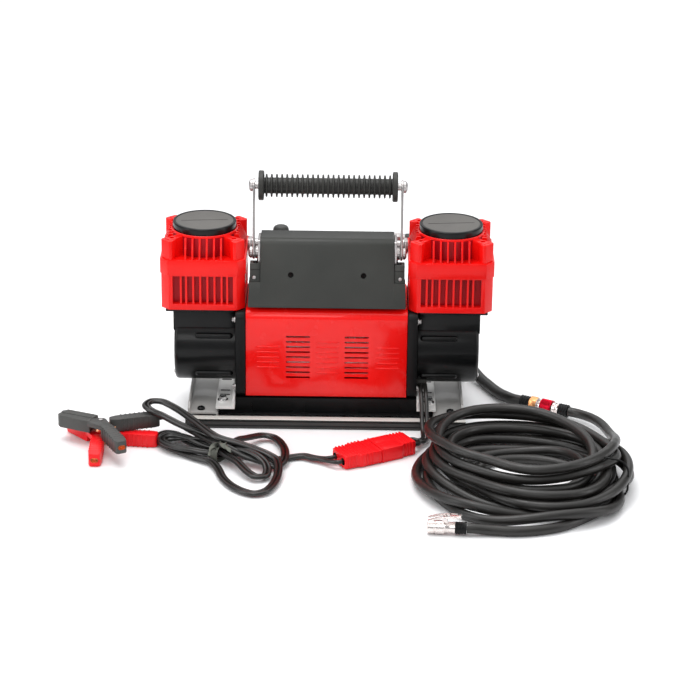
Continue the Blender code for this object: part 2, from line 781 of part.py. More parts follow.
def make_top_cover(paint):
    """A leaning fascia, wide below its shoulders, folded into a narrower box behind it."""
    wall = 0.002
    grey = paint["grey_plastic"]
    body_low = COVER_TOP_Z + GAP
    cover = prism("top_cover", cover_outline(0, body_low), "X", -BODY_HALF_WIDTH, BODY_HALF_WIDTH, grey)
    fascia = [
        (face_y(FASCIA_LOW_Z), FASCIA_LOW_Z),
        (face_y(SHOULDER_Z), SHOULDER_Z),
        (FASCIA_REAR_Y, SHOULDER_Z),
        (FASCIA_REAR_Y, FASCIA_LOW_Z),
    ]
    join(cover, prism("fascia", fascia, "X", -FASCIA_HALF_WIDTH, FASCIA_HALF_WIDTH, grey))
    reach = BODY_HALF_WIDTH - wall
    hollow = prism("hollow", cover_outline(wall, body_low - BEYOND / 2), "X", -reach, reach, grey)
    low_z, high_z = FASCIA_LOW_Z - BEYOND, SHOULDER_Z - wall
    inner_fascia = [
        (face_y(low_z) + wall, low_z),
        (face_y(high_z) + wall, high_z),
        (FASCIA_REAR_Y - wall, high_z),
        (FASCIA_REAR_Y - wall, low_z),
    ]
    reach = FASCIA_HALF_WIDTH - wall
    join(hollow, prism("inner", inner_fascia, "X", -reach, reach, grey))
    cut(cover, hollow)
    hole_x, hole_z, hole_r = 0.0405, 0.1715, 0.0032
    low_y, high_y = FACE_LOW_Y - BEYOND, FACE_BEND_Y + BEYOND
    holes = [rod("hole", "Y", low_y, high_y, hole_r, (x, hole_z), grey, 16) for x in (-hole_x, hole_x)]
    room = Vector((0.0005, 0.003, 0.0015))
    window = boxes("window", [(Vector(SWITCH_LOW) - room, Vector(SWITCH_HIGH) + room)], grey)
    cut(cover, *holes, window)
    rocker = box("power_switch", SWITCH_LOW, SWITCH_HIGH, paint["rubber"], 0.0008)
    reorigin(rocker, (0, TOP_COVER_REAR_Y - wall, (SWITCH_LOW[2] + SWITCH_HIGH[2]) / 2))


def make_manifold(paint):
    """The crossover pipe between the heads, its hose outlet behind, and the pressure switch."""
    nickel = paint["zinc"]
    end_x = HEAD_X - HEAD_HALF_WIDTH - 0.001 - GAP
    pipe_r, nut_r, nut_length = 0.0062, 0.0088, 0.0045
    nut_x = end_x - nut_length
    profile = [(-end_x, 0), (-end_x, nut_r), (-nut_x, nut_r), (-nut_x, pipe_r)]
    profile += [(-x, radius) for x, radius in reversed(profile)]
    manifold = turned("air_manifold", profile, "X", (MANIFOLD_Y, MANIFOLD_Z), nickel, 20)
    branch_x, outlet_y = 0.054, 0.062
    block = box("block", (branch_x - 0.010, 0.006, 0.171), (branch_x + 0.010, 0.023, 0.198), nickel)
    branch = rod("branch", "Y", 0.020, 0.068, pipe_r, (branch_x, OUTLET_Z), nickel, 16)
    outlet = rod("outlet", "X", 0.050, OUTLET_END_X, pipe_r, (outlet_y, OUTLET_Z), nickel, 16)
    seat_z = 0.1965
    switch_seat = box("seat", (-0.062, 0.0085, 0.1835), (-0.044, 0.0215, seat_z), nickel)
    join(manifold, block, branch, outlet, switch_seat)
    low, shoulder, edge, top = seat_z + GAP, 0.2010, 0.2130, 0.2150
    neck_r, body_r = 0.0050, 0.0090
    profile = [
        (low, 0),
        (low, neck_r),
        (shoulder, neck_r),
        (shoulder, body_r),
        (edge, body_r),
        (top, body_r - 0.002),
        (top, 0),
    ]
    turned("pressure_switch", profile, "Z", (-0.053, 0.015), paint["grey_plastic"], 24)


def make_handle(paint):
    for side, word in SIDES:
        make_handle_bracket(side, word, paint)
        make_handle_arm(side, word, paint)
    centre = (GRIP_Y, GRIP_Z)
    pivot = (0, PIVOT_Y, PIVOT_Z)
    head_in, head_out, head_r = ARM_X[1] + GAP, ARM_X[1] + 0.0045, 0.0070
    profile = [(-head_out, 0), (-head_out, head_r - 0.001), (-head_in, head_r), (-head_in, ROD_R)]
    profile += [(-x, radius) for x, radius in reversed(profile)]
    reorigin(turned("handle_rod", profile, "X", centre, paint["zinc"], 24), pivot)
    end_x, flange_x, flange_r, core_r = 0.0775, 0.0715, 0.017, 0.012
    profile = [(-end_x, ROD_R + GAP), (-end_x, flange_r), (-flange_x, flange_r), (-flange_x, core_r)]
    profile += [(-x, radius) for x, radius in reversed(profile)]
    reorigin(turned("handle_grip", profile, "X", centre, paint["rubber"], 28), pivot)


def make_handle_bracket(side, word, paint):
    """A plate on the cover's side with a boss and the bolt that the handle's arm turns on."""
    plate_x = 0.0773
    low, high = mirrored(side, BODY_HALF_WIDTH + GAP, plate_x)
    outline = rounded((-0.0235, 0.1790), (-0.0005, 0.2085), 0.003, steps=2)
    bracket = prism(f"handle_bracket_{word}", outline, "X", low, high, paint["zinc"])
    root_x, boss_x, boss_r = plate_x - 0.0008, ARM_X[0] - GAP, 0.0075
    head_x, top_x, head_r = ARM_X[1] + GAP, ARM_X[1] + 0.0042, 0.0068
    profile = [
        (root_x, 0),
        (root_x, boss_r),
        (boss_x, boss_r),
        (boss_x, PIVOT_PIN_R),
        (head_x, PIVOT_PIN_R),
        (head_x, head_r),
        (top_x, head_r - 0.001),
        (top_x, 0),
    ]
    profile = [(side * x, radius) for x, radius in profile]
    join(bracket, turned("bolt", profile, "X", (PIVOT_Y, PIVOT_Z), paint["zinc"], 24))


def make_handle_arm(side, word, paint):
    """A flat strip with round ends and a hole at each end."""
    low, high = mirrored(side, *ARM_X)
    ends = [(PIVOT_Y, PIVOT_Z, ARM_HALF_WIDTH), (GRIP_Y, GRIP_Z, ARM_HALF_WIDTH)]
    arm = prism(f"handle_arm_{word}", hull_outline(ends, 32), "X", low, high, paint["zinc"])
    holes = []
    for (y, z, _), pin_r in zip(ends, (PIVOT_PIN_R + 0.0001, ROD_R)):
        holes.append(rod("hole", "X", low - BEYOND, high + BEYOND, pin_r + GAP, (y, z), paint["zinc"]))
    cut(arm, *holes)
    reorigin(arm, (side * sum(ARM_X) / 2, PIVOT_Y, PIVOT_Z))


# ---------------------------------------------------------------- supply lead and connectors


CONNECTOR_MIDDLE = (0.0545, -0.1495, 0.0084)
CONNECTOR_TURN = math.radians(30.3)
CONNECTOR_HALF = 0.0445

SUPPLY_ROUTE = (
    (0.1090, -0.0403, 0.0420),
    (0.1093, -0.0480, 0.0413),
    (0.1098, -0.0570, 0.0378),
    (0.1103, -0.0655, 0.0314),
    (0.1106, -0.0735, 0.0236),
    (0.1108, -0.0815, 0.0160),
    (0.1112, -0.0895, 0.0100),
    (0.1116, -0.0975, 0.0066),
    (0.1116, -0.1060, 0.0058),
    (0.1095, -0.1135, 0.0062),
    (0.1056, -0.1190, 0.0072),
    beyond(CONNECTOR_MIDDLE, CONNECTOR_TURN, CONNECTOR_HALF + 0.0080),
    beyond(CONNECTOR_MIDDLE, CONNECTOR_TURN, CONNECTOR_HALF + GAP),
)

BATTERY_ROUTE = (
    beyond(CONNECTOR_MIDDLE, CONNECTOR_TURN, -CONNECTOR_HALF - GAP),
    beyond(CONNECTOR_MIDDLE, CONNECTOR_TURN, -CONNECTOR_HALF - 0.0070),
    (0.0020, -0.1776, 0.0066),
    (-0.0070, -0.1752, 0.0052),
    (-0.0160, -0.1700, 0.0048),
    (-0.0260, -0.1640, 0.0048),
    (-0.0330, -0.1605, 0.0048),
    (-0.0395, -0.1580, 0.0048),
)

HANK_CIRCLES = ((-0.146, -0.118, 0.024), (-0.078, -0.152, 0.036), (-0.082, -0.222, 0.034))
HANK_HEIGHT = 0.022

CLAMP_REACH = 0.066
CLAMP_SPREAD = math.radians(41.5)
CLAMPS = {
    "black": {
        "pivot": (-0.247, -0.124),
        "turn": math.radians(-23),
        "low_z": 0.0160,
        "paint": "grey_plastic",
    },
    "red": {
        "pivot": (-0.250, -0.118),
        "turn": math.radians(-47.5),
        "low_z": 0.0004,
        "paint": "red_plastic",
    },
}
CLAMP_HEIGHT = 0.015


def make_connector_half(name, sign, paint):
    """One housing of the plug pair, its mating face in the middle and its cable grip outside."""
    half_width, half_height = 0.0175, 0.008
    valley, ridge = half_width - 0.002, half_width - 0.001
    outline = [
        (GAP / 2, -half_width),
        (0.0250, -half_width),
        (0.0275, -valley),
        (0.0300, -ridge),
        (0.0325, -valley),
        (0.0350, -ridge),
        (CONNECTOR_HALF, -valley),
    ]
    outline += [(x, -y) for x, y in reversed(outline)]
    outline = [(sign * x, y) for x, y in outline]
    red = paint["red_plastic"]
    prism(name, outline, "Z", -half_height, half_height, red, CONNECTOR_MIDDLE, CONNECTOR_TURN)


def make_clamp(word, paint):
    """Two sleeved halves that cross at a pivot: the body holds the lead, the jaw half turns."""
    clamp = CLAMPS[word]
    finish = paint[clamp["paint"]]
    middle_z = CLAMP_HEIGHT / 2
    edge = 0.0005
    along = Vector((math.cos(CLAMP_SPREAD), math.sin(CLAMP_SPREAD)))
    across = Vector((-along.y, along.x))
    jaw = [(-0.050, 0.0004), (-0.010, 0.0004), (-0.010, 0.0105), (-0.045, 0.0095), (-0.050, 0.006)]
    handle = [(0.0105, -0.0045), (0.0240, -0.0075), (CLAMP_REACH, -0.0070)]
    handle += [(x, -y) for x, y in reversed(handle)]
    handle = [along * x + across * y for x, y in handle]
    web = [(0, 0, 0.0068), (-0.0120, 0.0062, 0.0032), (*(along * 0.0140), 0.0048)]
    for sign, name, low, high in (
        (1, f"{word}_clamp_body", 0.0010, middle_z - 0.0006),
        (-1, f"{word}_clamp_jaw", middle_z + 0.0006, CLAMP_HEIGHT - 0.0010),
    ):
        outline = [(x, sign * y) for x, y in jaw]
        half = prism(name, outline, "Z", edge, CLAMP_HEIGHT - edge, finish)
        outline = [(x, sign * y) for x, y in handle]
        grip = prism("grip", outline, "Z", 0.0, CLAMP_HEIGHT, finish)
        outline = hull_outline([(x, sign * y, radius) for x, y, radius in web], 32)
        join(half, prism("web", outline, "Z", low, high, finish), grip)
        half.location = (*clamp["pivot"], clamp["low_z"])
        half.rotation_euler = (0, 0, clamp["turn"])


def clamp_lead_start(word, along):
    """The middle of the lead at a distance beyond the end of the body's handle."""
    clamp = CLAMPS[word]
    pivot = (*clamp["pivot"], clamp["low_z"] + CLAMP_HEIGHT / 2)
    return beyond(pivot, clamp["turn"] + CLAMP_SPREAD, CLAMP_REACH + along)


def make_leads(paint):
    make_connector_half("connector_unit_half", 1, paint)
    make_connector_half("connector_battery_half", -1, paint)
    tube("supply_lead", SUPPLY_ROUTE, SUPPLY_PAIR_R, paint["rubber"])
    tube("battery_lead", BATTERY_ROUTE, SUPPLY_PAIR_R, paint["rubber"])
    prism("lead_hank", hull_outline(HANK_CIRCLES), "Z", 0.0004, HANK_HEIGHT, paint["rubber"])
    for word in CLAMPS:
        make_clamp(word, paint)
    hank_ends = {"black": (-0.1722, -0.1062, 0.0190), "red": (-0.1703, -0.1240, 0.0070)}
    for word, end in hank_ends.items():
        route = [clamp_lead_start(word, GAP), clamp_lead_start(word, 0.006), end]
        tube(f"{word}_clamp_lead", route, STRAND_R, paint["rubber"])


# ---------------------------------------------------------------- air hoses, coupler, chuck


COUPLER_START = (0.2235, -0.0060, 0.0090)
COUPLER_TURN = math.radians(-28.8)
COUPLER_LENGTH = 0.0595
CHUCK_START = (0.1078, -0.3360, 0.0078)
CHUCK_TURN = math.radians(-4.5)
CHUCK_LENGTH = 0.041
LEVER_PIVOT = (0.0185, 0.0108)

LEADER_ROUTE = (
    (0.0883, 0.0620, 0.1800),
    (0.1000, 0.0625, 0.1796),
    (0.1180, 0.0660, 0.1755),
    (0.1335, 0.0720, 0.1645),
    (0.1450, 0.0800, 0.1475),
    (0.1515, 0.0870, 0.1270),
    (0.1535, 0.0925, 0.1050),
    (0.1540, 0.0960, 0.0800),
    (0.1550, 0.0965, 0.0560),
    (0.1585, 0.0935, 0.0360),
    (0.1650, 0.0860, 0.0210),
    (0.1735, 0.0735, 0.0115),
    (0.1820, 0.0580, 0.0075),
    (0.1890, 0.0430, 0.0070),
    (0.1955, 0.0285, 0.0070),
    (0.2020, 0.0162, 0.0075),
    (0.2079, 0.0074, 0.0083),
    beyond(COUPLER_START, COUPLER_TURN, -0.0100),
    beyond(COUPLER_START, COUPLER_TURN, -GAP),
)

HOSE_ROUTE = (
    beyond(COUPLER_START, COUPLER_TURN, COUPLER_LENGTH + GAP),
    beyond(COUPLER_START, COUPLER_TURN, COUPLER_LENGTH + 0.0130),
    (0.3000, -0.0560, 0.0105),
    (0.3085, -0.0770, 0.0130),
    (0.3135, -0.1030, 0.0160),
    (0.3155, -0.1310, 0.0210),
    (0.3149, -0.1480, 0.0240),
)

TAIL_ROUTE = (
    beyond(CHUCK_START, CHUCK_TURN, CHUCK_LENGTH + GAP),
    beyond(CHUCK_START, CHUCK_TURN, CHUCK_LENGTH + 0.0070),
    (0.1740, -0.3395, 0.0062),
    (0.2070, -0.3390, 0.0058),
    (0.2160, -0.3366, 0.0057),
)


def make_coupler(paint):
    """A quick coupler along its own X axis: ferrule, hexagon and barrel, sleeve, hose plug."""
    centre = (0, 0)
    ferrule_x, ferrule_r = 0.0120, 0.0076
    nut_low_x, nut_high_x, nut_r = 0.0125, 0.0215, 0.0088
    barrel_x, barrel_r = 0.0400, 0.0052
    sleeve_low_x, sleeve_high_x, sleeve_r = 0.0260, 0.0396, 0.0085
    collar_x, collar_r, plug_r = 0.0480, 0.0070, 0.0074
    profile = [(0, 0), (0, ferrule_r), (ferrule_x, ferrule_r), (ferrule_x, barrel_r)]
    profile += [(barrel_x, barrel_r), (barrel_x, 0)]
    body = turned("coupler_body", profile, "X", centre, paint["brass"], 20)
    profile = [(nut_low_x, 0), (nut_low_x, nut_r), (nut_high_x, nut_r), (nut_high_x, 0)]
    join(body, turned("nut", profile, "X", centre, paint["brass"], 6))
    bore_r, red = barrel_r + 0.0004, paint["red_plastic"]
    sleeve = pipe("coupler_sleeve", "X", sleeve_low_x, sleeve_high_x, bore_r, sleeve_r, centre, red, 24)
    plug_x = barrel_x + GAP
    profile = [
        (plug_x, 0),
        (plug_x, collar_r),
        (collar_x, collar_r),
        (collar_x, plug_r),
        (COUPLER_LENGTH, plug_r),
        (COUPLER_LENGTH, 0),
    ]
    plug = turned("hose_plug", profile, "X", centre, paint["chrome"], 20)
    for item in (body, sleeve, plug):
        item.location = COUPLER_START
        item.rotation_euler = (0, 0, COUPLER_TURN)


def make_chuck(paint):
    """A clip-on tyre chuck along its own X axis, with a thumb lever on its back."""
    chrome = paint["chrome"]
    mouth_x, mouth_r, neck_r = 0.0185, 0.0072, 0.0060
    grip_x, grip_r = 0.0295, 0.0064
    profile = [
        (0, 0),
        (0, mouth_r),
        (mouth_x, mouth_r),
        (mouth_x, neck_r),
        (grip_x, grip_r),
        (CHUCK_LENGTH, grip_r),
        (CHUCK_LENGTH, 0),
    ]
    body = turned("chuck_body", profile, "X", (0, 0), chrome, 24)
    join(body, box("ears", (0.0160, -0.0022, 0.0040), (0.0210, 0.0022, 0.0125), chrome))
    body.location = CHUCK_START
    body.rotation_euler = (0, 0, CHUCK_TURN)
    end_x = 0.0175
    low_z, high_z, crown_z = 0.0012, 0.0026, 0.0030
    outline = [
        (-end_x, -high_z),
        (-end_x, -low_z),
        (0.0, crown_z),
        (end_x, high_z),
        (end_x, low_z),
        (0.0, 0.0004),
    ]
    cheek_in, cheek_out = 0.0025, 0.0055
    lever = prism("chuck_lever", outline, "Y", -cheek_out, -cheek_in, chrome)
    cheek = prism("cheek", outline, "Y", cheek_in, cheek_out, chrome)
    outline = [(0.004, 0.0004), (0.004, 0.0029), (end_x, high_z), (end_x, low_z)]
    join(lever, cheek, prism("web", outline, "Y", -0.004, 0.004, chrome))
    along, up = LEVER_PIVOT
    lever.location = Vector(beyond(CHUCK_START, CHUCK_TURN, along)) + Vector((0, 0, up))
    lever.rotation_euler = (0, 0, CHUCK_TURN)


def make_hoses(paint):
    tube("leader_hose", LEADER_ROUTE, LEADER_R, paint["rubber"])
    make_coupler(paint)
    tube("air_hose_start", HOSE_ROUTE, AIR_HOSE_R, paint["rubber"])
    low, high = 0.0004, COIL_HEIGHT
    edge = 0.008
    profile = [
        (low, COIL_RADII[0] + edge),
        (low, COIL_RADII[1] - edge),
        (low + edge, COIL_RADII[1]),
        (high - edge, COIL_RADII[1]),
        (high, COIL_RADII[1] - edge),
        (high, COIL_RADII[0] + edge),
        (high - edge, COIL_RADII[0]),
        (low + edge, COIL_RADII[0]),
    ]
    turned("hose_coil", profile, "Z", COIL_CENTRE, paint["rubber"], 40)
    tube("air_hose_tail", TAIL_ROUTE, AIR_HOSE_R, paint["rubber"])
    make_chuck(paint)


def main():
    clear_scene()
    paint = make_materials()
    make_base(paint)
    make_motor(paint)
    make_cylinders(paint)
    make_top_cover(paint)
    make_manifold(paint)
    make_handle(paint)
    make_leads(paint)
    make_hoses(paint)


main()
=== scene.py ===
"""Looks of the twin-cylinder 12 V air compressor: camera, light, cords and every detailed piece.

Metres, in the CAD frame: +X is the object's right, +Y its rear, +Z up, the floor at z = 0.
"""

import math

import bmesh
import bpy
import numpy as np
from mathutils import Matrix, Vector


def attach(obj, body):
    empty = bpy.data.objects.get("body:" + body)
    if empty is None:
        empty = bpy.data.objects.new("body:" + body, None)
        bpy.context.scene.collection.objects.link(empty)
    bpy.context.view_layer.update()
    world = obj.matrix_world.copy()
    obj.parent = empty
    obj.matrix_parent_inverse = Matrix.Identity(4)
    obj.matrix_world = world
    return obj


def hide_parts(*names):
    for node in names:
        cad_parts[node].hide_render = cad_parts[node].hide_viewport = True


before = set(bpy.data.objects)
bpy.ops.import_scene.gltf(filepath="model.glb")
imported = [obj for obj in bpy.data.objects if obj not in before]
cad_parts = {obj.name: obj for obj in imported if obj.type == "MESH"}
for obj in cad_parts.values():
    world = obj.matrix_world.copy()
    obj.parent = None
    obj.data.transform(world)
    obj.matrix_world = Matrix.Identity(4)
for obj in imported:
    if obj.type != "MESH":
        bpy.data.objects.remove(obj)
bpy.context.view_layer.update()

ROOT = "compressor"
GAP = 0.0003
SIDES = ((-1, "left"), (1, "right"))
SHARP = math.radians(38)
CAMERA_PLACE = (0.0265, -2.700, 1.152)
CAMERA_PITCH = math.radians(21.894)
CAMERA_ROLL = math.radians(0.75)
LENS_MM = 131.14


# ---------------------------------------------------------------- camera, floor and light


def make_camera():
    """A long lens in front of the object, looking down at it and rolled a little."""
    right = Vector((1, 0, 0))
    up = Vector((0, math.sin(CAMERA_PITCH), math.cos(CAMERA_PITCH)))
    back = Vector((0, -math.cos(CAMERA_PITCH), math.sin(CAMERA_PITCH)))
    camera_x = right * math.cos(CAMERA_ROLL) + up * math.sin(CAMERA_ROLL)
    camera_y = up * math.cos(CAMERA_ROLL) - right * math.sin(CAMERA_ROLL)
    lens = bpy.data.cameras.new("camera")
    lens.sensor_width = 36.0
    lens.lens = LENS_MM
    lens.clip_end = 30.0
    camera = bpy.data.objects.new("camera", lens)
    bpy.context.scene.collection.objects.link(camera)
    turn = Matrix((camera_x, camera_y, back)).transposed().to_4x4()
    camera.matrix_world = Matrix.Translation(CAMERA_PLACE) @ turn
    bpy.context.scene.camera = camera


def add_light(name, place, target, size, power):
    """A rectangular soft box at a place, facing the target."""
    data = bpy.data.lights.new(name, "AREA")
    data.shape = "RECTANGLE"
    data.size, data.size_y = size
    data.energy = power
    light = bpy.data.objects.new(name, data)
    bpy.context.scene.collection.objects.link(light)
    light.location = place
    aim = Vector(target) - Vector(place)
    light.rotation_euler = aim.to_track_quat("-Z", "Y").to_euler()


def make_stage():
    """A white floor that is faintly glossy, an even white sky and six soft boxes."""
    mesh_data = bmesh.new()
    bmesh.ops.create_grid(mesh_data, x_segments=1, y_segments=1, size=6.0)
    mesh = bpy.data.meshes.new("floor")
    mesh_data.to_mesh(mesh)
    mesh_data.free()
    floor = bpy.data.objects.new("floor", mesh)
    floor.location = (0, 3.0, 0)
    bpy.context.scene.collection.objects.link(floor)
    mesh.materials.append(simple_material("floor_white", (0.93, 0.93, 0.94), 0.32))
    world = bpy.data.worlds.new("studio")
    world.use_nodes = True
    sky = world.node_tree.nodes["Background"]
    sky.inputs["Color"].default_value = (0.97, 0.985, 1.0, 1.0)
    sky.inputs["Strength"].default_value = 0.42
    bpy.context.scene.world = world
    bpy.context.scene.view_settings.view_transform = "Standard"
    target = (0.0, -0.05, 0.12)
    add_light("overhead_box", (-0.1, 0.5, 3.0), (-0.1, 0.5, 0.0), (5.0, 5.0), 104.0)
    add_light("back_box", (0.0, 5.0, 3.0), (0.0, 5.0, 0.0), (6.0, 3.0), 75.0)
    add_light("key_box", (-0.3, 0.1, 2.1), target, (1.5, 0.7), 17.0)
    add_light("front_box", (-0.5, -2.4, 1.7), target, (1.5, 0.9), 13.0)
    add_light("left_box", (-2.0, -0.9, 0.9), target, (0.7, 1.3), 14.0)
    add_light("right_box", (2.1, -0.7, 0.9), target, (0.7, 1.3), 11.0)


# ---------------------------------------------------------------- materials


def simple_material(name, colour, roughness, metallic=0.0):
    made = bpy.data.materials.new(name)
    made.use_nodes = True
    shader = made.node_tree.nodes["Principled BSDF"]
    shader.inputs["Base Color"].default_value = (*colour, 1.0)
    shader.inputs["Roughness"].default_value = roughness
    shader.inputs["Metallic"].default_value = metallic
    return made


class Nodes:
    """A material's node tree, with its shader, its object coordinates and short ways to add to it."""

    def __init__(self, name, metallic=0.0, coat=0.0, coat_roughness=0.08, specular=0.5):
        self.material = bpy.data.materials.new(name)
        self.material.use_nodes = True
        self.tree = self.material.node_tree
        self.shader = self.tree.nodes["Principled BSDF"]
        self.shader.inputs["Metallic"].default_value = metallic
        self.shader.inputs["Coat Weight"].default_value = coat
        self.shader.inputs["Coat Roughness"].default_value = coat_roughness
        self.shader.inputs["Specular IOR Level"].default_value = specular
        self.place = self.tree.nodes.new("ShaderNodeTexCoord").outputs["Object"]

    def link(self, output, target):
        self.tree.links.new(output, target)

    def noise(self, scale, detail=4.0, stretch=(1, 1, 1)):
        """Noise whose grains are about 1/scale metres wide, drawn out along an axis by stretch."""
        mapping = self.tree.nodes.new("ShaderNodeMapping")
        mapping.inputs["Scale"].default_value = stretch
        self.link(self.place, mapping.inputs["Vector"])
        texture = self.tree.nodes.new("ShaderNodeTexNoise")
        texture.inputs["Scale"].default_value = scale
        texture.inputs["Detail"].default_value = detail
        self.link(mapping.outputs["Vector"], texture.inputs["Vector"])
        return texture.outputs["Fac"]

    def spread(self, value, low, high, low_in=0.3, high_in=0.7):
        """Maps a noise value to a range of numbers."""
        ramp = self.tree.nodes.new("ShaderNodeMapRange")
        ramp.inputs["From Min"].default_value = low_in
        ramp.inputs["From Max"].default_value = high_in
        ramp.inputs["To Min"].default_value = low
        ramp.inputs["To Max"].default_value = high
        self.link(value, ramp.inputs["Value"])
        return ramp.outputs["Result"]

    def blend(self, value, first, second, low_in=0.3, high_in=0.7):
        """Mixes two colours by a noise value."""
        ramp = self.tree.nodes.new("ShaderNodeValToRGB")
        ramp.color_ramp.elements[0].position = low_in
        ramp.color_ramp.elements[0].color = (*first, 1.0)
        ramp.color_ramp.elements[1].position = high_in
        ramp.color_ramp.elements[1].color = (*second, 1.0)
        self.link(value, ramp.inputs["Fac"])
        return ramp.outputs["Color"]

    def bump(self, value, distance, strength=1.0):
        bump = self.tree.nodes.new("ShaderNodeBump")
        bump.inputs["Distance"].default_value = distance
        bump.inputs["Strength"].default_value = strength
        self.link(value, bump.inputs["Height"])
        self.link(bump.outputs["Normal"], self.shader.inputs["Normal"])
        return self

    def finish(self, colour, roughness):
        self.link(colour, self.shader.inputs["Base Color"])
        self.link(roughness, self.shader.inputs["Roughness"])
        return self.material


def painted(name, first, second, roughness, coat=0.0, peel=0.00006, grain=900.0, specular=0.3):
    """Sprayed or moulded colour: soft changes of tone, uneven gloss and a fine orange peel."""
    nodes = Nodes(name, coat=coat, specular=specular)
    tone = nodes.blend(nodes.noise(14.0, 5.0), first, second)
    gloss = nodes.spread(nodes.noise(60.0, 6.0), roughness * 0.92, roughness * 1.10)
    nodes.bump(nodes.noise(grain, 3.0), peel)
    return nodes.finish(tone, gloss)


def metal(name, first, second, roughness, stretch=(1, 1, 1), grain=500.0, scratch=0.000004, metallic=1.0):
    """Bare or plated metal: cloudy tone, fine lines drawn out along one axis, uneven shine."""
    nodes = Nodes(name, metallic=metallic)
    tone = nodes.blend(nodes.noise(35.0, 6.0), first, second)
    gloss = nodes.spread(nodes.noise(grain, 5.0, stretch), roughness * 0.88, roughness * 1.15)
    nodes.bump(nodes.noise(grain, 4.0, stretch), scratch)
    return nodes.finish(tone, gloss)


def make_materials():
    hose = Nodes("hose_rubber", coat=0.04, coat_roughness=0.35, specular=0.45)
    tone = hose.blend(hose.noise(25.0, 5.0), (0.0080, 0.0074, 0.0066), (0.0150, 0.0136, 0.0120))
    gloss = hose.spread(hose.noise(120.0, 6.0), 0.32, 0.46)
    hose.bump(hose.noise(1400.0, 2.0), 0.00008)
    return {
        "hose": hose.finish(tone, gloss),
        "cable": painted(
            "cable_jacket", (0.0065, 0.0060, 0.0056), (0.0125, 0.0115, 0.0105),
            0.30, peel=0.00003, specular=0.5,
        ),
        "rubber": painted(
            "moulded_rubber", (0.020, 0.020, 0.018), (0.034, 0.033, 0.030),
            0.44, grain=1500.0,
        ),
        "red": painted(
            "red_gloss_paint", (0.78, 0.0035, 0.0030), (0.88, 0.0070, 0.0050),
            0.32, 0.14, specular=0.2,
        ),
        "red_sheet": painted(
            "red_sheet_paint", (0.84, 0.0035, 0.0030), (0.92, 0.0060, 0.0040),
            0.26, 0.4, peel=0.00001, specular=0.2,
        ),
        "red_plastic": painted(
            "red_plastic", (0.76, 0.0050, 0.0090), (0.86, 0.0100, 0.0140),
            0.34, grain=700.0, specular=0.28,
        ),
        "black": painted(
            "black_gloss_paint", (0.0020, 0.0022, 0.0024), (0.0040, 0.0043, 0.0046),
            0.30, 0.10, specular=0.2,
        ),
        "black_satin": painted(
            "black_satin_paint", (0.0022, 0.0024, 0.0026), (0.0045, 0.0048, 0.0052),
            0.40, specular=0.2,
        ),
        "cover_grey": painted(
            "grey_textured_paint", (0.032, 0.034, 0.031), (0.044, 0.045, 0.041),
            0.40, grain=1600.0,
        ),
        "cap_grey": painted(
            "grey_satin_cap", (0.085, 0.080, 0.074), (0.110, 0.104, 0.096),
            0.38, grain=1300.0,
        ),
        # Mid grey on the side channels' black sheet: a painted reflection of the white surroundings.
        "frame_painted_reflection": painted("grey_painted_reflection", (0.30, 0.295, 0.285), (0.37, 0.36, 0.35), 0.30, 0.2),
        # A pale copy of the rails' paint for their top faces: a painted highlight.
        "rail_painted_highlight": painted("pale_painted_highlight", (0.52, 0.50, 0.47), (0.62, 0.60, 0.56), 0.30, 0.2),
        # A darker red painted as shade on the heads' window walls and round the barrel.
        "red_painted_shade": painted(
            "red_painted_recess_shade", (0.30, 0.0030, 0.0080), (0.42, 0.0060, 0.0150),
            0.40, specular=0.2,
        ),
        "rail_dark": painted("dark_frame_paint", (0.020, 0.020, 0.019), (0.034, 0.033, 0.031), 0.30, 0.1),
        "vinyl_grey": painted(
            "grey_vinyl", (0.045, 0.045, 0.043), (0.070, 0.070, 0.066),
            0.42, grain=1100.0,
        ),
        "bright_zinc": metal(
            "bright_zinc_plate", (0.70, 0.69, 0.68), (0.82, 0.81, 0.79),
            0.36, metallic=0.35,
        ),
        "zinc": metal("zinc_plate", (0.40, 0.38, 0.38), (0.54, 0.51, 0.50), 0.30, metallic=0.85),
        "steel": metal("bright_steel", (0.60, 0.60, 0.61), (0.78, 0.77, 0.76), 0.24, (1, 6, 6)),
        "aluminium": metal("cast_aluminium", (0.62, 0.62, 0.63), (0.76, 0.76, 0.77), 0.42),
        "chrome": metal("chrome_plate", (0.70, 0.64, 0.62), (0.82, 0.76, 0.73), 0.26),
        "copper": metal("copper", (0.78, 0.36, 0.20), (0.88, 0.46, 0.27), 0.28),
        "brass": metal("orange_brass", (0.84, 0.36, 0.14), (0.92, 0.45, 0.20), 0.32),
        "anodised": metal("red_anodised", (0.34, 0.004, 0.016), (0.44, 0.008, 0.024), 0.34),
        "tie": painted(
            "paper_tie", (0.095, 0.100, 0.085), (0.160, 0.165, 0.140),
            0.72, peel=0.0002, grain=500.0,
        ),
        # Near-black for the walls of grooves, holes and slots and a line at a bend: painted shade.
        "dark": painted("painted_recess_shade", (0.006, 0.006, 0.006), (0.010, 0.010, 0.010), 0.6),
    }


# ---------------------------------------------------------------- smooth routes and settling cords


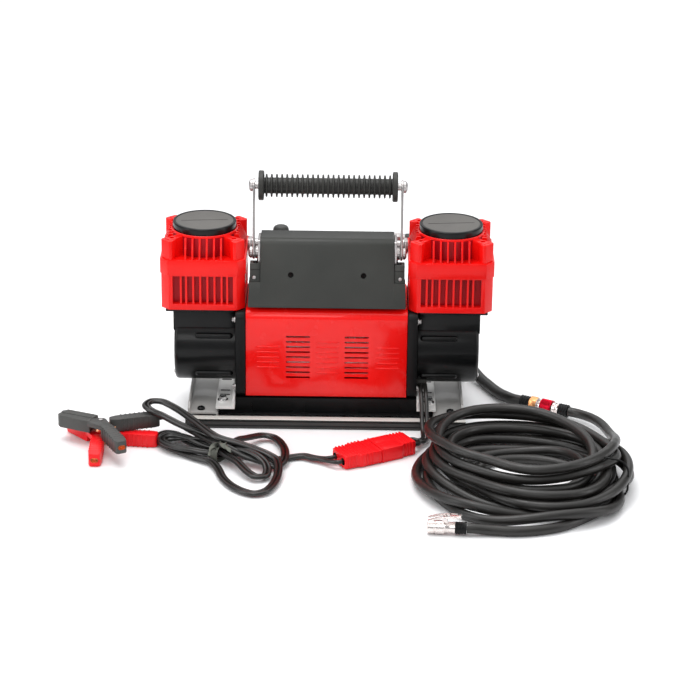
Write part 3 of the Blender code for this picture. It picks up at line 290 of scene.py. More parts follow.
def smooth_route(points, spacing):
    """Points a set distance apart along one smooth curve through the given ones."""
    knots = [Vector(point) for point in points]
    knots = [2 * knots[0] - knots[1]] + knots + [2 * knots[-1] - knots[-2]]
    dense = []
    steps = 16
    for a, b, c, d in zip(knots, knots[1:], knots[2:], knots[3:]):
        for step in range(steps):
            t = step / steps
            bend = 2 * a - 5 * b + 4 * c - d
            twist = 3 * b - a - 3 * c + d
            dense.append(0.5 * (2 * b + (c - a) * t + bend * t**2 + twist * t**3))
    dense.append(knots[-2])
    dense = np.array(dense)
    walked = np.concatenate([[0.0], np.cumsum(np.linalg.norm(np.diff(dense, axis=0), axis=1))])
    count = max(2, round(walked[-1] / spacing))
    stops = np.linspace(0.0, walked[-1], count + 1)
    return np.stack([np.interp(stops, walked, dense[:, axis]) for axis in range(3)], axis=1)


def beyond(start, turn, distance):
    """The point at a distance from start, level with it, in the direction turned about Z."""
    return (start[0] + distance * math.cos(turn), start[1] + distance * math.sin(turn), start[2])


def ease(places, values, at):
    """A smooth curve through values at falling places."""
    last = len(places) - 1
    first = 0
    while first < last - 1 and at < places[first + 1]:
        first += 1

    def slope(i):
        low, high = max(i - 1, 0), min(i + 1, last)
        return (values[high] - values[low]) / (places[high] - places[low])

    width = places[first + 1] - places[first]
    t = (at - places[first]) / width
    ends = (2 * t**3 - 3 * t**2 + 1) * values[first] + (3 * t**2 - 2 * t**3) * values[first + 1]
    leans = (t**3 - 2 * t**2 + t) * slope(first) + (t**3 - t**2) * slope(first + 1)
    return ends + leans * width


def coil_through(stations, hub, per_turn=28):
    """A clockwise coil: its radius and height change smoothly with the angle about the hub."""
    angles, radii, heights = [], [], []
    for x, y, z in stations:
        angle = math.atan2(y - hub[1], x - hub[0])
        while angles and angle > angles[-1] - 0.05:
            angle -= 2 * math.pi
        angles.append(angle)
        radii.append(math.hypot(x - hub[0], y - hub[1]))
        heights.append(z)
    count = int(per_turn * (angles[0] - angles[-1]) / (2 * math.pi))
    points = []
    for step in range(count + 1):
        angle = angles[0] + (angles[-1] - angles[0]) * step / count
        radius = ease(angles, radii, angle)
        place = (hub[0] + radius * math.cos(angle), hub[1] + radius * math.sin(angle))
        points.append((*place, ease(angles, heights, angle)))
    return points


def part_strands(points, radius, head, tail, rounds, softness):
    """Pushes the places where a cord lies on itself a diameter apart, by long gentle moves only.

    The first head and last tail points stay where they are. Points that are close neighbours along
    the cord don't push each other, and the moves grow over a few points from the held ends.
    """
    neighbours = 12
    ramp = 13.0
    eagerness = 1.6
    start = np.array(points, float)
    count = len(start)
    order = np.arange(count)
    apart = np.abs(order[:, None] - order[None, :]) > neighbours
    before = order[:, None] < order[None, :]
    hold = np.clip(np.minimum(order - head + 1, count - tail - order) / ramp, 0.0, 1.0)[:, None]
    reach = 3 * softness
    kernel = np.exp(-0.5 * (np.arange(-reach, reach + 1) / softness) ** 2)
    kernel /= kernel.sum()
    move = np.zeros_like(start)
    for _ in range(rounds):
        place = start + move
        gaps = np.linalg.norm(place[:, None] - place[None], axis=2)
        first, second = np.nonzero((gaps < 2 * radius) & apart & before)
        push = np.zeros_like(place)
        hits = np.zeros(count)
        way = place[second] - place[first]
        length = np.maximum(np.linalg.norm(way, axis=1), 1e-6)
        share = way * ((radius - 0.5 * length) / length)[:, None]
        np.add.at(push, first, -share)
        np.add.at(push, second, share)
        np.add.at(hits, first, 1)
        np.add.at(hits, second, 1)
        push /= np.maximum(hits, 1)[:, None]
        push[:, 2] += np.maximum(radius - place[:, 2] - push[:, 2], 0.0)
        padded = np.pad(push * hold, ((reach, reach), (0, 0)), mode="edge")
        soft = [np.convolve(padded[:, axis], kernel, mode="valid") for axis in range(3)]
        move += np.stack(soft, axis=1) * eagerness * hold
    return start + move


def cord_curve(name, points, radius, paint, sides=5):
    """A cord as one open curve with closed ends."""
    curve = bpy.data.curves.new(name, "CURVE")
    curve.dimensions = "3D"
    curve.bevel_depth = radius
    curve.bevel_resolution = sides
    curve.use_fill_caps = True
    spline = curve.splines.new("POLY")
    spline.points.add(len(points) - 1)
    for knot, point in zip(spline.points, points):
        knot.co = (*point, 1.0)
    spline.use_smooth = True
    curve.materials.append(paint)
    made = bpy.data.objects.new(name, curve)
    bpy.context.scene.collection.objects.link(made)
    return made


# ---------------------------------------------------------------- routes; fittings and ends as in the CAD


CONNECTOR_MIDDLE = (0.0545, -0.1495, 0.0084)
CONNECTOR_TURN = math.radians(30.3)
CONNECTOR_HALF = 0.0445
COUPLER_START = (0.2235, -0.0060, 0.0090)
COUPLER_TURN = math.radians(-28.8)
COUPLER_LENGTH = 0.0595
CHUCK_START = (0.1078, -0.3360, 0.0078)
CHUCK_TURN = math.radians(-4.5)
CHUCK_LENGTH = 0.041
LEVER_PIVOT = (0.0185, 0.0108)
CLAMPS = {
    "black": {"pivot": (-0.247, -0.124), "turn": math.radians(-23), "low_z": 0.0160},
    "red": {"pivot": (-0.250, -0.118), "turn": math.radians(-47.5), "low_z": 0.0004},
}
CLAMP_HEIGHT = 0.015
CLAMP_REACH = 0.066
CLAMP_SPREAD = math.radians(41.5)

LEADER_R = 0.0065
AIR_HOSE_R = 0.00535
STRAND_R = 0.0024
STRAND_STEP = 0.0015
HOSE_STEP = 0.0025
PORT_Y = 0.0068
PORT_DEPTH = 0.006

SUPPLY_ROUTE = (
    (0.1090, -0.0403, 0.0420),
    (0.1093, -0.0480, 0.0413),
    (0.1098, -0.0570, 0.0378),
    (0.1103, -0.0655, 0.0314),
    (0.1106, -0.0735, 0.0236),
    (0.1108, -0.0815, 0.0160),
    (0.1112, -0.0895, 0.0100),
    (0.1116, -0.0975, 0.0066),
    (0.1116, -0.1060, 0.0058),
    (0.1095, -0.1135, 0.0062),
    (0.1056, -0.1190, 0.0072),
    beyond(CONNECTOR_MIDDLE, CONNECTOR_TURN, CONNECTOR_HALF + 0.0080),
    beyond(CONNECTOR_MIDDLE, CONNECTOR_TURN, CONNECTOR_HALF + GAP),
)

LEADER_ROUTE = (
    (0.0883, 0.0620, 0.1800),
    (0.1000, 0.0625, 0.1796),
    (0.1180, 0.0660, 0.1755),
    (0.1335, 0.0720, 0.1645),
    (0.1450, 0.0800, 0.1475),
    (0.1515, 0.0870, 0.1270),
    (0.1535, 0.0925, 0.1050),
    (0.1540, 0.0960, 0.0800),
    (0.1550, 0.0965, 0.0560),
    (0.1585, 0.0935, 0.0360),
    (0.1650, 0.0860, 0.0210),
    (0.1735, 0.0735, 0.0115),
    (0.1820, 0.0580, 0.0075),
    (0.1890, 0.0430, 0.0070),
    (0.1955, 0.0285, 0.0070),
    (0.2020, 0.0162, 0.0075),
    (0.2079, 0.0074, 0.0083),
    beyond(COUPLER_START, COUPLER_TURN, -0.0100),
    beyond(COUPLER_START, COUPLER_TURN, -GAP),
)

HOSE_START = (
    beyond(COUPLER_START, COUPLER_TURN, COUPLER_LENGTH + GAP),
    beyond(COUPLER_START, COUPLER_TURN, COUPLER_LENGTH + 0.0130),
    (0.3000, -0.0560, 0.0105),
    (0.3085, -0.0770, 0.0130),
    (0.3135, -0.1030, 0.0160),
    (0.3155, -0.1310, 0.0210),
    (0.3140, -0.1660, 0.0275),
)

HOSE_END = (
    (0.3040, -0.2420, 0.0056),
    (0.3005, -0.2620, 0.0056),
    (0.2830, -0.2950, 0.0056),
    (0.2480, -0.3250, 0.0056),
    (0.2070, -0.3390, 0.0056),
    (0.1740, -0.3395, 0.0062),
    beyond(CHUCK_START, CHUCK_TURN, CHUCK_LENGTH + 0.0070),
    beyond(CHUCK_START, CHUCK_TURN, CHUCK_LENGTH + GAP),
)

# Seen from above the coil runs clockwise, down through the stack to the floor and then inwards along
# it. The stations are places on its centre line.
COIL_HUB = (0.2090, -0.2050)
COIL_STATIONS = (
    (0.3085, -0.2020, 0.0330), (0.2950, -0.2350, 0.0380), (0.2680, -0.2610, 0.0415),
    (0.2330, -0.2710, 0.0420), (0.1750, -0.2450, 0.0420), (0.1320, -0.2090, 0.0420),
    (0.1135, -0.1680, 0.0400), (0.1280, -0.1240, 0.0360), (0.2050, -0.0985, 0.0315),
    (0.2900, -0.1400, 0.0290), (0.3125, -0.1950, 0.0235), (0.2700, -0.2570, 0.0300),
    (0.2330, -0.2690, 0.0310), (0.1660, -0.2480, 0.0310), (0.1225, -0.1850, 0.0335),
    (0.1450, -0.1210, 0.0400), (0.2050, -0.1075, 0.0430), (0.2630, -0.1430, 0.0420),
    (0.2880, -0.2000, 0.0345), (0.2730, -0.2520, 0.0200), (0.2320, -0.2725, 0.0200),
    (0.1680, -0.2460, 0.0205), (0.1350, -0.1800, 0.0260), (0.1560, -0.1320, 0.0240),
    (0.2120, -0.1160, 0.0225), (0.2800, -0.1370, 0.0220), (0.3050, -0.1950, 0.0235),
    (0.2850, -0.2780, 0.0210), (0.2320, -0.2970, 0.0225), (0.1580, -0.2560, 0.0210),
    (0.1185, -0.1880, 0.0235), (0.1360, -0.1330, 0.0220), (0.2050, -0.1030, 0.0205),
    (0.2980, -0.1430, 0.0180), (0.3230, -0.2050, 0.0165), (0.2900, -0.2870, 0.0145),
    (0.2320, -0.3060, 0.0150), (0.1640, -0.2540, 0.0110), (0.1290, -0.1850, 0.0120),
    (0.1520, -0.1390, 0.0110), (0.2050, -0.1220, 0.0105), (0.2830, -0.1480, 0.0110),
    (0.3085, -0.2050, 0.0145), (0.2780, -0.2720, 0.0056), (0.2250, -0.2880, 0.0056),
    (0.1480, -0.2600, 0.0110), (0.1110, -0.1900, 0.0155), (0.1400, -0.1290, 0.0120),
    (0.2050, -0.1105, 0.0095), (0.2960, -0.1480, 0.0060), (0.3240, -0.2080, 0.0058),
    (0.2840, -0.2800, 0.0056), (0.2200, -0.3020, 0.0060), (0.1630, -0.3035, 0.0130),
    (0.1260, -0.2780, 0.0110), (0.1005, -0.1960, 0.0065), (0.1220, -0.1430, 0.0080),
    (0.2050, -0.0985, 0.0060), (0.2950, -0.1400, 0.0058), (0.3130, -0.2080, 0.0056),
    (0.2960, -0.2880, 0.0056), (0.2250, -0.3270, 0.0056), (0.1600, -0.3140, 0.0056),
    (0.1250, -0.2680, 0.0056), (0.1120, -0.2020, 0.0056), (0.1350, -0.1550, 0.0060),
    (0.2080, -0.1350, 0.0060), (0.2780, -0.1620, 0.0056), (0.2980, -0.2080, 0.0056),
    (0.2780, -0.2500, 0.0056), (0.2320, -0.2680, 0.0056), (0.1680, -0.2530, 0.0056),
    (0.1420, -0.2050, 0.0056), (0.1610, -0.1640, 0.0056), (0.2140, -0.1480, 0.0056),
    (0.2640, -0.1660, 0.0056), (0.2785, -0.2070, 0.0056), (0.2620, -0.2410, 0.0056),
    (0.2220, -0.2550, 0.0056), (0.1790, -0.2410, 0.0056), (0.1640, -0.2050, 0.0056),
    (0.1780, -0.1720, 0.0056), (0.2160, -0.1580, 0.0056), (0.2610, -0.1680, 0.0056),
    (0.2910, -0.1970, 0.0056), (0.3020, -0.2230, 0.0056),
)

# The battery lead leaves the plug, goes through its tie at HANK_TIE and swings out in loops to the
# left and right of it, by turns.
HANK_TIE = (-0.1150, -0.1610)
HANK_ROUTE = (
    (0.0060, -0.1680, 0.0070), (-0.0060, -0.1660, 0.0052), (-0.0260, -0.1560, 0.0050),
    (-0.0520, -0.1640, 0.0055), (-0.0800, -0.1560, 0.0070), (-0.1130, -0.1540, 0.0080),
    (-0.1330, -0.1450, 0.0070), (-0.1520, -0.1240, 0.0060), (-0.1690, -0.1020, 0.0055),
    (-0.1820, -0.1040, 0.0050), (-0.1850, -0.1190, 0.0050), (-0.1700, -0.1390, 0.0045),
    (-0.1430, -0.1620, 0.0045), (-0.1230, -0.1760, 0.0050), (-0.1140, -0.1950, 0.0045),
    (-0.1070, -0.2180, 0.0040), (-0.0930, -0.2410, 0.0040), (-0.0740, -0.2540, 0.0040),
    (-0.0590, -0.2460, 0.0050), (-0.0500, -0.2160, 0.0060), (-0.0520, -0.1830, 0.0100),
    (-0.0700, -0.1700, 0.0150), (-0.0930, -0.1640, 0.0200), (-0.1180, -0.1550, 0.0250),
    (-0.1430, -0.1270, 0.0310), (-0.1670, -0.0990, 0.0350), (-0.1860, -0.0870, 0.0380),
    (-0.1980, -0.0930, 0.0375), (-0.1960, -0.1050, 0.0360), (-0.1790, -0.1110, 0.0300),
    (-0.1560, -0.1240, 0.0230), (-0.1330, -0.1420, 0.0190), (-0.1120, -0.1640, 0.0160),
    (-0.0960, -0.1830, 0.0120), (-0.0830, -0.2060, 0.0080), (-0.0700, -0.2170, 0.0060),
    (-0.0610, -0.2080, 0.0060), (-0.0640, -0.1900, 0.0100), (-0.0820, -0.1740, 0.0150),
    (-0.1120, -0.1600, 0.0170), (-0.1370, -0.1420, 0.0140), (-0.1580, -0.1250, 0.0120),
    (-0.1740, -0.1220, 0.0110), (-0.1790, -0.1330, 0.0100), (-0.1650, -0.1480, 0.0100),
    (-0.1400, -0.1590, 0.0120), (-0.1160, -0.1580, 0.0150), (-0.0980, -0.1380, 0.0150),
    (-0.0850, -0.1240, 0.0110), (-0.0680, -0.1080, 0.0070), (-0.0540, -0.1150, 0.0060),
    (-0.0450, -0.1400, 0.0060), (-0.0430, -0.1680, 0.0060), (-0.0500, -0.1870, 0.0060),
    (-0.0660, -0.1830, 0.0110), (-0.0900, -0.1730, 0.0140), (-0.1150, -0.1600, 0.0180),
    (-0.1360, -0.1400, 0.0190),
)
CLAMP_TAILS = {
    "black": ((-0.1500, -0.1250, 0.0190), (-0.1640, -0.1110, 0.0215)),
    "red": ((-0.1500, -0.1330, 0.0130), (-0.1640, -0.1260, 0.0090)),
}


def clamp_mouth(word, distance):
    """The middle of a clamp's lead at a distance beyond the end of its fixed handle."""
    clamp = CLAMPS[word]
    pivot = (*clamp["pivot"], clamp["low_z"] + CLAMP_HEIGHT / 2)
    return beyond(pivot, clamp["turn"] + CLAMP_SPREAD, CLAMP_REACH + distance)


# ---------------------------------------------------------------- cords


def connector_port(side, across, distance):
    """A point behind one of a plug half's two cable ports."""
    along = Vector((math.cos(CONNECTOR_TURN), math.sin(CONNECTOR_TURN), 0))
    sideways = Vector((-along.y, along.x, 0))
    point = Vector(CONNECTOR_MIDDLE) + along * side * (CONNECTOR_HALF + distance) + sideways * across
    return tuple(point)


def offset_route(route, amount):
    """The route moved sideways, level with the floor, by an amount at each point."""
    points = np.array(route, float)
    way = np.gradient(points, axis=0)
    flat = np.stack([way[:, 1], -way[:, 0], np.zeros(len(way))], axis=1)
    flat /= np.maximum(np.linalg.norm(flat, axis=1), 1e-9)[:, None]
    return points + flat * np.array(amount)[:, None]


def make_supply_lead(paint):
    """Two strands from the end plate's gland to the plug's fixed half."""
    made = []
    middle = SUPPLY_ROUTE[:-2]
    half_apart = 0.0027
    for sign, number in ((-1, 1), (1, 2)):
        route = [tuple(point) for point in offset_route(middle, np.full(len(middle), sign * half_apart))]
        ports = [connector_port(1, -sign * PORT_Y, out) for out in (0.0080, GAP - PORT_DEPTH)]
        points = smooth_route(route + ports, STRAND_STEP)
        strand = cord_curve(f"supply_strand_{number}", points, STRAND_R, paint["cable"])
        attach(strand, ROOT)
        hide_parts("supply_lead")
        made.append((strand, points))
    return made


def make_battery_lead(paint):
    """Two strands that run side by side through the hank and part to the two clamps."""
    spacing = 0.004
    pair_r = 0.0030
    every = 3
    middle = part_strands(smooth_route(HANK_ROUTE, spacing), pair_r, 3, 3, rounds=60, softness=4)
    made = []
    for sign, word in ((-1, "black"), (1, "red")):
        strand = offset_route(middle, np.full(len(middle), sign * STRAND_R))
        port = [connector_port(-1, sign * PORT_Y, out) for out in (GAP - PORT_DEPTH, 0.0060)]
        tail = [*CLAMP_TAILS[word], clamp_mouth(word, 0.0080), clamp_mouth(word, GAP - 0.004)]
        route = [*port, *[tuple(point) for point in strand[2:-2:every]], *tail]
        points = smooth_route(route, STRAND_STEP)
        strand = cord_curve(f"battery_strand_{word}", points, STRAND_R, paint["cable"])
        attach(strand, ROOT)
        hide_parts("battery_lead", "lead_hank", f"{word}_clamp_lead")
        made.append((strand, points))
    return made


def make_air_hose(paint):
    """From the coupler through the coil to the chuck, its turns resting on each other."""
    spacing = 0.0075
    route = smooth_route((*HOSE_START, *coil_through(COIL_STATIONS, COIL_HUB), *HOSE_END), spacing)
    placed = part_strands(route, AIR_HOSE_R, 14, 5, rounds=90, softness=6)
    points = smooth_route(placed, HOSE_STEP)
    hose = cord_curve("air_hose", points, AIR_HOSE_R, paint["hose"], sides=6)
    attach(hose, ROOT)
    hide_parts("air_hose_start", "hose_coil", "air_hose_tail")
    return hose, points


def make_leader_hose(paint):
    """From the manifold's outlet behind the cover down to the coupler."""
    points = smooth_route(LEADER_ROUTE, HOSE_STEP)
    hose = cord_curve("outlet_hose", points, LEADER_R, paint["hose"], sides=6)
    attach(hose, ROOT)
    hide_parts("leader_hose")
    return hose, points


# ---------------------------------------------------------------- modelling helpers


def to_object(name, mesh_data, paint, sharp=SHARP):
    """Turns a bmesh into a smooth-shaded object with one finish or several."""
    bmesh.ops.recalc_face_normals(mesh_data, faces=mesh_data.faces)
    mesh = bpy.data.meshes.new(name)
    mesh_data.to_mesh(mesh)
    mesh_data.free()
    for one in paint if isinstance(paint, (list, tuple)) else [paint]:
        mesh.materials.append(one)
    made = bpy.data.objects.new(name, mesh)
    bpy.context.scene.collection.objects.link(made)
    mesh.shade_smooth()
    mesh.set_sharp_from_angle(angle=sharp)
    return made


def applied(item, sharp=SHARP):
    """Turns an object's modifiers into mesh."""
    bpy.context.view_layer.update()
    graph = bpy.context.evaluated_depsgraph_get()
    result = bpy.data.meshes.new_from_object(item.evaluated_get(graph))
    item.modifiers.clear()
    item.data = result
    item.data.shade_smooth()
    item.data.set_sharp_from_angle(angle=sharp)
    return item


def combine(target, others, operation):
    for other in others:
        step = target.modifiers.new(operation.lower(), "BOOLEAN")
        step.operation = operation
        step.solver = "EXACT"
        step.material_mode = "TRANSFER"
        step.object = other
        applied(target)
        bpy.data.objects.remove(other, do_unlink=True)
    return target


def cut(target, *others):
    return combine(target, others, "DIFFERENCE")


def join(target, *others):
    return combine(target, others, "UNION")


def gather(target, *others):
    """Puts separate shells into one object, keeping their materials."""
    for other in others:
        slots = {}
        for index, material in enumerate(other.data.materials):
            if material.name not in [m.name for m in target.data.materials]:
                target.data.materials.append(material)
            slots[index] = [m.name for m in target.data.materials].index(material.name)
        mesh_data = bmesh.new()
        mesh_data.from_mesh(target.data)
        start = len(mesh_data.faces)
        mesh_data.from_mesh(other.data)
        mesh_data.faces.ensure_lookup_table()
        for face in mesh_data.faces[start:]:
            face.material_index = slots[face.material_index]
        mesh_data.to_mesh(target.data)
        mesh_data.free()
        bpy.data.objects.remove(other, do_unlink=True)
    target.data.set_sharp_from_angle(angle=SHARP)
    return target


def soften(item, width, segments=2, angle=35):
    """Rounds an object's sharp edges."""
    step = item.modifiers.new("edges", "BEVEL")
    step.width = width
    step.segments = segments
    step.limit_method = "ANGLE"
    step.angle_limit = math.radians(angle)
    step.use_clamp_overlap = True
    step.harden_normals = False
    return applied(item)


def add_box(mesh_data, low, high):
    low, high = Vector(low), Vector(high)
    place = Matrix.Translation((low + high) / 2) @ Matrix.Diagonal((*(high - low), 1.0))
    bmesh.ops.create_cube(mesh_data, size=1.0, matrix=place)


def box(name, low, high, paint, edge=0.0, segments=2):
    mesh_data = bmesh.new()
    add_box(mesh_data, low, high)
    if edge:
        edges = mesh_data.edges[:]
        bmesh.ops.bevel(mesh_data, geom=edges, offset=edge, segments=segments, profile=0.5, affect="EDGES")
    return to_object(name, mesh_data, paint)


def boxes(name, corners, paint):
    mesh_data = bmesh.new()
    for low, high in corners:
        add_box(mesh_data, low, high)
    return to_object(name, mesh_data, paint)


def in_space(axis, along, first, second):
    """A point from its coordinate along an axis and its other two."""
    if axis == "X":
        return (along, first, second)
    if axis == "Y":
        return (first, along, second)
    return (first, second, along)


def add_prism(mesh_data, outline, axis, low, high):
    bottom = [mesh_data.verts.new(in_space(axis, low, *point)) for point in outline]
    top = [mesh_data.verts.new(in_space(axis, high, *point)) for point in outline]
    count = len(outline)
    mesh_data.faces.new(bottom[::-1])
    mesh_data.faces.new(top)
    for i in range(count):
        j = (i + 1) % count
        mesh_data.faces.new((bottom[i], bottom[j], top[j], top[i]))


def prism(name, outline, axis, low, high, paint, edge=0.0):
    mesh_data = bmesh.new()
    add_prism(mesh_data, outline, axis, low, high)
    made = to_object(name, mesh_data, paint)
    return soften(made, edge) if edge else made


def add_turned(mesh_data, profile, axis, centre, segments):
    rings = []
    for along, radius in profile:
        count = segments if radius > 0 else 1
        ring = []
        for j in range(count):
            angle = 2 * math.pi * j / segments
            first = centre[0] + radius * math.cos(angle)
            second = centre[1] + radius * math.sin(angle)
            ring.append(mesh_data.verts.new(in_space(axis, along, first, second)))
        rings.append(ring)
    is_ring = all(radius > 0 for _, radius in profile)
    last = len(rings) if is_ring else len(rings) - 1
    for i in range(last):
        near, far = rings[i], rings[(i + 1) % len(rings)]
        for j in range(segments):
            k = (j + 1) % segments
            corners = [near[j % len(near)], near[k % len(near)], far[k % len(far)], far[j % len(far)]]
            corners = list(dict.fromkeys(corners))
            if len(corners) > 2:
                mesh_data.faces.new(corners)


def turned(name, profile, axis, centre, paint, segments=48):
    mesh_data = bmesh.new()
    add_turned(mesh_data, profile, axis, centre, segments)
    return to_object(name, mesh_data, paint)


def rod(name, axis, low, high, radius, centre, paint, segments=32, edge=0.0):
    if not edge:
        profile = [(low, 0), (low, radius), (high, radius), (high, 0)]
        return turned(name, profile, axis, centre, paint, segments)
    arc = [(edge * (1 - math.cos(a)), radius - edge * (1 - math.sin(a))) for a in quarter_steps()]
    profile = [(low, 0)] + [(low + back, out) for back, out in arc]
    profile += [(high - back, out) for back, out in arc[::-1]] + [(high, 0)]
    return turned(name, profile, axis, centre, paint, segments)


def quarter_steps(steps=4):
    return [math.pi / 2 * step / steps for step in range(steps + 1)]


def rounded(low, high, radius, corners=(1, 1, 1, 1), steps=5):
    """A rectangle's outline, anticlockwise from its lower right; corners says which are round."""
    centres = (
        (high[0] - radius, low[1] + radius, -90),
        (high[0] - radius, high[1] - radius, 0),
        (low[0] + radius, high[1] - radius, 90),
        (low[0] + radius, low[1] + radius, 180),
    )
    squares = ((high[0], low[1]), high, (low[0], high[1]), low)
    outline = []
    for (first, second, start), square, is_round in zip(centres, squares, corners):
        if not is_round:
            outline.append(tuple(square))
            continue
        for step in range(steps + 1):
            angle = math.radians(start + 90 * step / steps)
            outline.append((first + radius * math.cos(angle), second + radius * math.sin(angle)))
    return outline


def hull_outline(circles, steps=32):
    """The outline of the rubber band round some circles, each (x, y, radius)."""
    outline = []
    for step in range(steps):
        angle = 2 * math.pi * step / steps
        way = (math.cos(angle), math.sin(angle))
        x, y, radius = max(circles, key=lambda c: c[0] * way[0] + c[1] * way[1] + c[2])
        outline.append((x + radius * way[0], y + radius * way[1]))
    return outline


def hexagon(centre, across, turn=0.0):
    """A hexagon's outline by the distance across its flats."""
    radius = across / math.sqrt(3)
    angles = [math.radians(turn + 60 * i) for i in range(6)]
    return [(centre[0] + radius * math.cos(a), centre[1] + radius * math.sin(a)) for a in angles]


def mirrored(side, low, high):
    """A range on the right-hand side, or its mirror image on the left."""
    return (low, high) if side > 0 else (-high, -low)


def moved(item, matrix):
    item.data.transform(matrix)
    if matrix.determinant() < 0:
        item.data.flip_normals()
    return item


def copy_of(item, name, matrix=Matrix()):
    made = bpy.data.objects.new(name, item.data.copy())
    bpy.context.scene.collection.objects.link(made)
    return moved(made, matrix)


def part(item, body, slot, *nodes):
    """Says what a finished piece rides on and which CAD nodes it stands for; slot is not used."""
    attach(item, body)
    if nodes:
        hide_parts(*nodes)
    return item


def split_place(axis, place):
    """A place's coordinate along an axis, and its other two."""
    along = "XYZ".index(axis)
    return place[along], [value for i, value in enumerate(place) if i != along]


def bolt(name, axis, place, way, across, height, paint, washer=0.0):
    """A hexagon head on a round flange, standing up from place along an axis, way +1 or -1."""
    base, others = split_place(axis, place)
    low, high = sorted((base + way * 0.0008, base + way * height))
    head = prism(name, hexagon(others, across, 15), axis, low, high, paint, 0.0004)
    flange_r = washer or across * 0.62
    low, high = sorted((base - way * 0.0005, base + way * 0.0014))
    flange = rod("flange", axis, low, high, flange_r, others, paint, 28, 0.0004)
    return gather(head, flange)


def screw(name, axis, place, way, radius, height, paint):
    """A low round head with a cross slot."""
    base, others = split_place(axis, place)
    steps = [(0, radius), (0.35, radius), (0.75, radius * 0.86), (0.95, radius * 0.6), (1.0, 0)]
    profile = [(base - way * 0.0005, 0)] + [(base + way * height * share, r) for share, r in steps]
    head = turned(name, profile, axis, others, paint, 24)
    arm, thin = radius * 0.55, radius * 0.14
    low, high = sorted((base + way * height * 0.45, base + way * (height + 0.001)))
    for first, second in ((arm, thin), (thin, arm)):
        corners = [(others[0] - first, others[1] - second), (others[0] + first, others[1] + second)]
        corners = [in_space(axis, along, *corner) for along, corner in zip((low, high), corners)]
        cut(head, boxes("slot", [corners], paint))
    return head


# ---------------------------------------------------------------- sizes shared with the CAD


SHAFT_Z = 0.075
COVER_HALF_LENGTH = 0.0905
COVER_HALF_DEPTH = 0.050
COVER_LOW_Z = 0.030
COVER_TOP_Z = 0.1332
COVER_EDGE_R = 0.012
COVER_WALL = 0.0022
PLATE_INNER_X = 0.0908
PLATE_OUTER_X = 0.102
PLATE_TOP_Z = 0.1306
BEARING_R = 0.013
HEAD_X = 0.138
CRANKCASE_R = 0.042
CRANKCASE_CAVITY_R = 0.036
CRANKCASE_END_X = 0.1715
CRANKCASE_FLOOR_X = 0.1655
FLANGE_LOW_Z = 0.1272
HEAD_LOW_Z = 0.131
BAND_LOW_Z = 0.172
BAND_TOP_Z = 0.190
HEAD_TOP_Z = 0.213
HEAD_HALF_WIDTH = 0.0467
HEAD_CHAMFER = 0.009
CYLINDER_OUTER_R = 0.0298
CYLINDER_BORE_R = 0.0244
CYLINDER_TOP_Z = 0.185
CAP_R = 0.0355
CAP_TOP_Z = 0.222
FASCIA_HALF_WIDTH = 0.088
BODY_HALF_WIDTH = 0.0743
FASCIA_LOW_Z = 0.1367
TOP_COVER_Z = 0.210
TOP_COVER_REAR_Y = 0.004
FACE_LOW_Y = -0.050
FACE_BEND_Y = -0.0296
FACE_BEND_Z = 0.2035
TOP_EDGE_R = 0.009
FASCIA_REAR_Y = -0.0262
SWITCH_LOW = (-0.0100, -0.0010, 0.1595)
SWITCH_HIGH = (0.0100, 0.0075, 0.1715)
PIVOT_Y = -0.012
PIVOT_Z = 0.1885
GRIP_Y = 0.0
GRIP_Z = 0.263
ARM_X = (0.0813, 0.0838)
ARM_HALF_WIDTH = 0.0078
ROD_R = 0.004
PIVOT_PIN_R = 0.0033
MANIFOLD_Y = 0.014
MANIFOLD_Z = 0.189
OUTLET_Z = 0.180


# ---------------------------------------------------------------- cylinder heads and caps


def head_outline(grow=0.0, chamfer=HEAD_CHAMFER):
    """The head's plan about its own middle, a square with its corners cut off."""
    half = HEAD_HALF_WIDTH + grow
    flat = half - chamfer
    right = [(flat, -half), (half, -flat), (half, flat), (flat, half)]
    return right + [(-x, -y) for x, y in right]


def add_quarters(mesh_data, start):
    """Repeats the points made since start on the head's other three faces."""
    mesh_data.verts.ensure_lookup_table()
    made = mesh_data.verts[start:]
    faces = {face for vert in made for face in vert.link_faces}
    for quarter in (1, 2, 3):
        result = bmesh.ops.duplicate(mesh_data, geom=[*made, *faces])
        verts = [item for item in result["geom"] if isinstance(item, bmesh.types.BMVert)]
        turn = Matrix.Rotation(math.pi / 2 * quarter, 3, "Z")
        bmesh.ops.rotate(mesh_data, cent=(0, 0, 0), matrix=turn, verts=verts)


def fins(name, places, thickness, outline, paint):
    """Upright plates on all four faces, each the outline in Y and Z at one of the places in X."""
    mesh_data = bmesh.new()
    for x in places:
        add_prism(mesh_data, outline, "X", x - thickness / 2, x + thickness / 2)
    add_quarters(mesh_data, 0)
    return to_object(name, mesh_data, paint)


